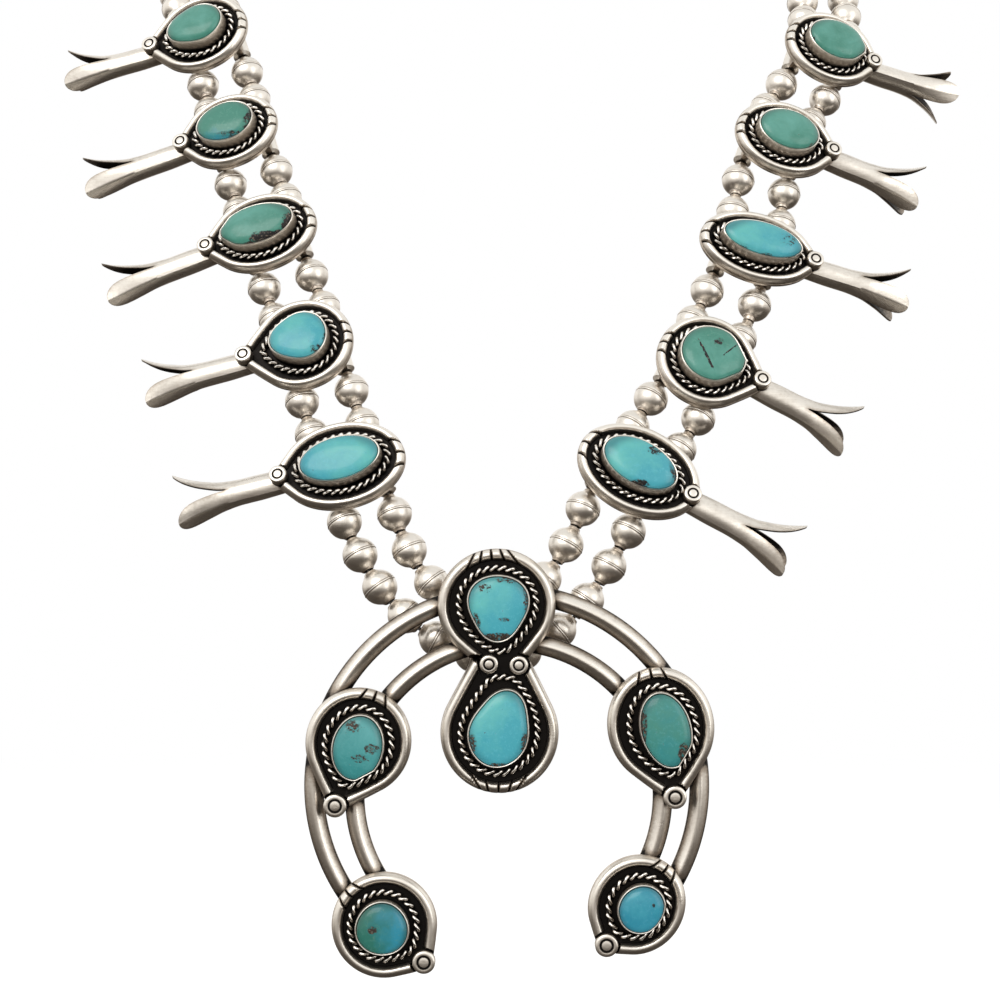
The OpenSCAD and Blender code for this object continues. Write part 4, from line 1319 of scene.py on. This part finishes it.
@dataclass(frozen=True)
class StringRoute:
    """The way of one string on one side: round the neck, behind the blossoms and to the drop."""

    side: Side
    strand: Strand

    def blossoms(self) -> list[BlossomPlace]:
        """The side's blossoms from the top down."""
        return BLOSSOMS[:5] if self.side is Side.LEFT else BLOSSOMS[5:]

    def spans(self) -> list[list[Vector]]:
        """The joints of each span, from the clasp to the drop, in the row frame."""
        way, places = self.side.value, self.blossoms()
        free = SIZES.tube_long / 2 + SIZES.clear
        top = places[0]
        start = top.string_at(self.strand) - top.down() * free
        nape_y = (-1 if self.strand is Strand.INNER else 1) * CLASP_PITCH / 2
        end = NAPE + Vector((way * (CLASP_HALF + SIZES.clear), nape_y, 0)) + WORN
        stops = [start] + [Vector((way * x, y, z)) + WORN for x, y, z in BACK_ROUTE[self.strand]] + [end]
        ways = [-top.down() * (stops[1] - start).length]
        ways += [(b - a) / 2 for a, b in zip(stops, stops[2:])]
        ways.append(Vector((-way, 0, 0)) * (stops[-1] - stops[-2]).length)
        back: list[Vector] = []
        for k in range(len(stops) - 1):
            back += curve(stops[k], stops[k + 1], ways[k], ways[k + 1])
        made = [joints(back + [end])]
        for upper, lower in zip(places, places[1:]):
            p = upper.string_at(self.strand) + upper.down() * free
            q = lower.string_at(self.strand) - lower.down() * free
            far = (q - p).length
            made.append(joints(curve(p, q, upper.down() * far, lower.down() * far) + [q]))
        last = places[-1]
        leave, pull, slope = DROP_PULL[self.side][self.strand.value]
        x, z = DROP_RINGS[self.strand.value]
        p = last.string_at(self.strand) + last.down() * free
        q = Vector((x + way * (SIZES.ring_long / 2 + SIZES.clear), 0, z)) + WORN
        far, tilt = (q - p).length, math.radians(slope)
        reach = Vector((-way * math.cos(tilt), 0, -math.sin(tilt))) * far * pull
        made.append(joints(curve(p, q, last.down() * far * leave, reach) + [q]))
        return made

    def beads(self) -> list[tuple[Vector, Vector, float]]:
        """Middle, way and length of each bead."""
        made = []
        for span in self.spans():
            for k, (p, q) in enumerate(zip(span, span[1:])):
                less = 0.0
                for a, b, c in ((k - 1, k, k + 1), (k, k + 1, k + 2)):
                    if a >= 0 and c < len(span):
                        bend = (span[b] - span[a]).angle(span[c] - span[b])
                        less += SIZES.collar / 2 * math.tan(bend / 2)
                made.append(((p + q) / 2, (q - p).normalized(), (q - p).length - SIZES.gap - less))
        return made

    def half_thread(self) -> list[Vector]:
        """The thread's points from inside the clasp to the drop."""
        spans = self.spans()
        inside = spans[0][-1] + Vector((-self.side.value * (SOCKET - 1), 0, 0))
        points = [inside] + list(reversed(spans[0]))
        for span in spans[1:]:
            points += span
        return points


@dataclass
class BeadStrings:
    """The four strings of beads and their two threads."""

    seed: int = 11

    def parts(self, silver: bpy.types.Material) -> tuple[bpy.types.Object, bpy.types.Object]:
        """A bead of diameter 1 and a collar of length 1 mm, both bored, to be placed on the points."""
        body, ball = Draft(), 0.5
        half = [(ball * math.cos(k * math.radians(6.1)), ball * math.sin(k * math.radians(6.1)), 0.04)
                for k in range(1, 10)]
        half = [(ball + 0.008, 0.012, 0.0), (ball + 0.003, 0.021, 0.1), (ball - 0.008, 0.026, 0.85)] + half
        half += [(0.251, 0.436, 0.08), (0.226, 0.454, 0.14), (0.206, 0.472, 0.2), (0.192, 0.49, 0.3),
                 (0.184, 0.505, 0.45)]
        rows = [(r, -z, d) for r, z, d in reversed(half)] + half + [(0.09, 0.505, 1.0), (0.09, -0.505, 1.0)]
        body.lathe([(r / MM, z / MM, d) for r, z, d in rows], Matrix.Identity(4), 28, looped=True)
        neck, outer, hole = Draft(), SIZES.collar / 2 + 0.22, 0.65
        neck.lathe([(hole, -0.5 / MM, 1.0), (outer - 0.08, -0.5 / MM, 0.6), (outer, -0.49 / MM, 0.4),
                    (outer, 0.49 / MM, 0.4), (outer - 0.08, 0.5 / MM, 0.6), (hole, 0.5 / MM, 1.0)],
                   Matrix.Identity(4), 18, looped=True)
        made = []
        for name, draft in (("bead_form", body), ("collar_form", neck)):
            made.append(bpy.data.objects.new(name, draft.mesh(name, silver, 50)))
        return made[0], made[1]

    def build(self, silver: bpy.types.Material, thread: bpy.types.Material) -> None:
        """Make the strings' pieces in the scene."""
        pattern, forms = bead_pattern(), self.parts(silver)
        for side in Side:
            for strand in Strand:
                beads = StringRoute(side, strand).beads()
                seed = path_mesh("points", [b[0] for b in beads], False)
                seed.attributes.new("along", "FLOAT_VECTOR", "POINT").data.foreach_set(
                    "vector", [c for b in beads for c in b[1]])
                seed.attributes.new("reach", "FLOAT", "POINT").data.foreach_set(
                    "value", [b[2] * MM for b in beads])
                node = f"beads_{side.name.lower()}_{strand.name.lower()}"
                mesh = pattern.grow(f"{node}_silver", seed, Bead=forms[0], Collar=forms[1],
                                    Bead_Diameter=SIZES.bead * MM, Seed=self.seed, Material=silver)
                piece(f"{node}_silver", mesh, [node])
        for form in forms:
            bpy.data.objects.remove(form)
        laid = thread_pattern()
        for strand in Strand:
            halves = [StringRoute(side, strand).half_thread() for side in Side]
            route = halves[0] + list(reversed(halves[1]))
            name = f"thread_{strand.name.lower()}"
            mesh = laid.grow(name, path_mesh("path", route, False),
                             Thread_Radius=SIZES.thread / 2 * MM, Material=thread)
            piece(f"{name}_laid", mesh, [name])


# Studio

@dataclass
class Studio:
    """The pale floor, the soft lights and the camera."""

    lens: float = 86.4
    eye: tuple[float, float, float] = (-0.0021, -0.680, -0.1795)

    def camera(self) -> None:
        """The camera at the photograph's place, level and looking along Y."""
        data = bpy.data.cameras.new("camera")
        data.lens, data.sensor_width = self.lens, 36.0
        data.clip_start, data.clip_end = 0.01, 50.0
        thing = in_scene("camera", data)
        thing.location = self.eye
        thing.rotation_euler = (math.radians(90), 0, 0)
        bpy.context.scene.camera = thing

    def floor(self) -> None:
        """A wide pale floor that brightens outwards to the colour of the studio."""
        sides, radii = 64, (0.001, 0.3, 0.8, 2.0, 6.0, 20.0)
        points = [(r * math.cos(2 * math.pi * i / sides), r * math.sin(2 * math.pi * i / sides), -0.36)
                  for r in radii for i in range(sides)]
        faces = [(k + i, k + sides + i, k + sides + (i + 1) % sides, k + (i + 1) % sides)
                 for k in range(0, sides * (len(radii) - 1), sides) for i in range(sides)]
        faces.append(tuple(range(sides)))
        mesh = bpy.data.meshes.new("floor")
        mesh.from_pydata(points, [], faces)

        def build(graph: Graph) -> dict:
            """Nodes of the floor."""
            far = graph.add("ShaderNodeVectorMath", {"operation": "LENGTH"}, {0: graph.object_place()})
            out = Value(graph, far.outputs["Value"]).step(0.35, 1.1)
            return {"Base Color": graph.mixed(out, (0.86, 0.86, 0.86), (0.0, 0.0, 0.0)), "Roughness": 0.9,
                    "Emission Color": graph.mixed(out, (0.25, 0.25, 0.25), (1.0, 1.0, 1.0)),
                    "Emission Strength": 1.0, "Specular IOR Level": 0.0}
        mesh.materials.append(shader("pale floor", build))
        thing = in_scene("floor", mesh)
        thing.visible_glossy = False

    def light(self, name: str, place: Colour, size: tuple[float, float], power: float, tint: Colour) -> None:
        """A soft rectangular light that faces the necklace."""
        data = bpy.data.lights.new(name, "AREA")
        data.shape, data.size, data.size_y = "RECTANGLE", size[0], size[1]
        data.energy, data.color = power, tint
        thing = in_scene(name, data)
        thing.location = place
        aim = Vector((0, -0.12, -0.17)) - Vector(place)
        thing.rotation_euler = aim.to_track_quat("-Z", "Y").to_euler()

    def world(self) -> None:
        """White behind the object, and round it a soft room that is brighter above than below."""
        world = bpy.data.worlds.new("studio")
        world.use_nodes = True
        bpy.context.scene.world = world
        graph = Graph(world.node_tree)
        way = graph.add("ShaderNodeTexCoord").outputs["Generated"]
        up = Value(graph, graph.add("ShaderNodeSeparateXYZ", {}, {0: way}).outputs[2])
        cloud = graph.noise(way, 1.7, 2.0)
        room = graph.add("ShaderNodeValToRGB", {"stops": [
            (0.0, (0.05, 0.042, 0.035)), (0.32, (0.1, 0.084, 0.07)), (0.42, (0.35, 0.31, 0.27)),
            (0.5, (0.9, 0.87, 0.83)), (0.68, (1.06, 1.05, 1.03)), (1.0, (0.86, 0.86, 0.85))]},
            {0: up * 0.5 + 0.5 + (cloud - 0.5) * 0.3})
        seen = graph.add("ShaderNodeLightPath").outputs["Is Camera Ray"]
        colour = graph.mixed(Value(graph, seen), room.outputs[0], (1.0, 1.0, 1.0))
        sky = graph.add("ShaderNodeBackground", {}, {"Color": colour, "Strength": 1.0})
        graph.add("ShaderNodeOutputWorld", {}, {"Surface": sky.outputs[0]})

    def build(self) -> None:
        """Make the whole studio."""
        self.camera()
        self.floor()
        self.world()
        self.light("key", (-0.55, -1.1, 0.6), (1.0, 0.8), 6, (1.0, 0.985, 0.96))
        self.light("fill", (0.85, -0.85, 0.1), (0.5, 0.9), 1.5, (1.0, 0.99, 0.97))
        bpy.context.scene.view_settings.view_transform = "Standard"


# The stones' colours: a few hues that all stones share
GREEN, PALE_GREEN, DARK_GREEN = (0.05, 0.2, 0.15), (0.1, 0.3, 0.25), (0.02, 0.13, 0.1)
TEAL, PALE_TEAL = (0.03, 0.2, 0.2), (0.08, 0.3, 0.3)
SKY, PALE_SKY, DEEP_BLUE = (0.05, 0.3, 0.36), (0.1, 0.4, 0.38), (0.02, 0.2, 0.28)
BLACK, BROWN = (0.012, 0.011, 0.012), (0.03, 0.019, 0.013)

# A stone's two hues, the way that they run, its matrix, how fine its specks are, and its patches
STONE_LOOKS = {
    "left_1": (GREEN, PALE_GREEN, (-0.3, 0.5, 0.3), BLACK, 800, [
        Patch(0.7, -0.8, 0.4, 0.3, 0.5)]),
    "left_2": (GREEN, DEEP_BLUE, (0, -1.1, -0.2), BLACK, 1100, [
        Patch(0.85, 0.1, 0.35, 0.7, 0.8), Patch(0.2, -0.5, 0.6, 0.2, 0.75),
        Patch(-0.5, -0.85, 0.4, 0.2, 0.8)]),
    "left_3": (GREEN, PALE_GREEN, (-0.3, 0.5, 0.2), BLACK, 1100, [
        Patch(0.5, -0.5, 0.85, 0.42, 1.6), Patch(0.0, -0.85, 0.7, 0.3, 1.4),
        Patch(0.88, 0.1, 0.3, 0.6, 1.4)]),
    "left_4": (SKY, PALE_SKY, (-0.2, 0.4, 0.4), BLACK, 1500, [
        Patch(-0.2, -0.85, 0.5, 0.2, 0.85), Patch(0.7, -0.4, 0.3, 0.3, 0.8),
        Patch(0.95, 0.0, 0.2, 0.4, 0.75)]),
    "left_5": (SKY, PALE_SKY, (0.4, 0.2, 0.4), BLACK, 1200, [
        Patch(0.5, -0.95, 0.4, 0.2, 0.6)]),
    "right_1": (GREEN, PALE_GREEN, (0.2, 0.4, 0.3), BLACK, 900, [
        Patch(-0.9, 0.0, 0.3, 0.5, 0.6), Patch(-0.7, -0.7, 0.3, 0.3, 0.9)]),
    "right_2": (GREEN, PALE_GREEN, (0, 0.3, 0.4), BROWN, 900, [
        Patch(0.8, -0.7, 0.3, 0.3, 0.5), Patch(-0.85, -0.4, 0.3, 0.4, 0.8)]),
    "right_3": (SKY, PALE_SKY, (-0.3, 0.3, 0.4), BLACK, 1500, [
        Patch(-0.7, -0.4, 0.5, 0.4, 0.8), Patch(0.05, -0.75, 0.35, 0.3, 0.9),
        Patch(0.7, 0.2, 0.35, 0.5, 0.6)]),
    "right_4": (GREEN, PALE_GREEN, (0, 0, 0.3), BLACK, 900, [
        Patch(-0.2, 0.05, 0.06, 0.7, 1.15, -0.45), Patch(0.2, 0.5, 0.22, 0.18, 0.95),
        Patch(0.6, 0.25, 0.05, 0.3, 1.05, 1.2)]),
    "right_5": (SKY, PALE_SKY, (-0.7, 0.4, 0.3), BLACK, 1100, [
        Patch(-0.05, -0.62, 0.4, 0.24, 1.15), Patch(0.5, 0.55, 0.35, 0.25, 0.75),
        Patch(0.95, -0.2, 0.2, 0.5, 0.8)]),
    "stone_drop_top": (SKY, PALE_SKY, (-0.55, 0.55, 0.25), BROWN, 1600, [
        Patch(-0.78, -0.45, 0.25, 0.45, 0.85), Patch(0.35, 0.93, 0.5, 0.14, 0.85),
        Patch(0.0, -0.92, 0.85, 0.26, 1.1), Patch(0.2, -0.33, 0.3, 0.1, 0.8),
        Patch(-0.5, 0.68, 0.35, 0.22, 0.65), Patch(0.95, 0.2, 0.18, 0.6, 0.8)]),
    "stone_drop_low": (SKY, PALE_SKY, (-0.4, 0.5, 0.3), BROWN, 1400, [
        Patch(-0.95, -0.4, 0.3, 0.4, 0.95), Patch(0.95, -0.5, 0.22, 0.6, 0.95),
        Patch(0.0, -0.97, 0.6, 0.12, 0.8)]),
    "stone_side_left": (TEAL, PALE_TEAL, (0.2, 0.5, 0.4), BROWN, 1700, [
        Patch(-0.2, 0.7, 0.5, 0.25, 0.8), Patch(0.6, 0.0, 0.4, 0.2, 0.85),
        Patch(0.1, -0.3, 0.5, 0.2, 0.75)]),
    "stone_side_right": (TEAL, GREEN, (0, 0.3, 0.3), BROWN, 1100, [
        Patch(-0.9, 0.1, 0.2, 0.6, 1.0), Patch(0.7, -0.6, 0.3, 0.35, 0.95)]),
    "stone_end_left": (DARK_GREEN, DEEP_BLUE, (0.9, -0.2, 0.4), BROWN, 900, [
        Patch(-0.35, 0.0, 0.24, 0.22, 0.8)]),
    "stone_end_right": (DEEP_BLUE, SKY, (0, 0.3, 0.3), BLACK, 900, [
        Patch(0.5, 0.25, 0.14, 0.14, 0.9)])}


def stone_finishes() -> dict[str, TurquoiseFinish]:
    """Each stone's finish, named after its place, with its clouds shifted from the last one's."""
    made = {}
    for number, (key, look) in enumerate(STONE_LOOKS.items(), start=1):
        main, second, run, matrix, speck, patches = look
        name = "turquoise " + key.removeprefix("stone_").replace("_", " ")
        made[key] = TurquoiseFinish(name, main, second, run, matrix, tuple(patches), speck, number / 10)
    return made


def main() -> None:
    """Build the studio and the necklace in order."""
    logging.basicConfig(level=logging.INFO, format="%(name)s: %(message)s")
    Studio().build()
    silver = SilverFinish("old silver").material()
    beads = SilverFinish("bead silver", clean=(0.87, 0.82, 0.75), film=(0.5, 0.42, 0.34), roughness=0.32,
                         blotch=220.0).material()
    wire = SilverFinish("rope silver", clean=(0.9, 0.87, 0.82), film=(0.5, 0.44, 0.38),
                        roughness=0.2).material()
    thread = plain("thread", (0.16, 0.14, 0.12), (0.08, 0.07, 0.06), 2500.0, 0.85)
    rope = rope_pattern()
    stones = stone_finishes()
    names = [f"left_{k}" for k in range(1, 6)] + [f"right_{k}" for k in range(1, 6)]
    for name, at in zip(names, BLOSSOMS):
        Blossom(name, at, stones[name]).build(silver, rope, wire)
    Naja(stones).build(silver, rope, wire)
    BeadStrings().build(beads, thread)
    clasp = frame["nodes"]["clasp"]
    clasp.data.materials.clear()
    clasp.data.materials.append(silver)
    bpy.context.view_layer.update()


if __name__ == "__main__":
    main()
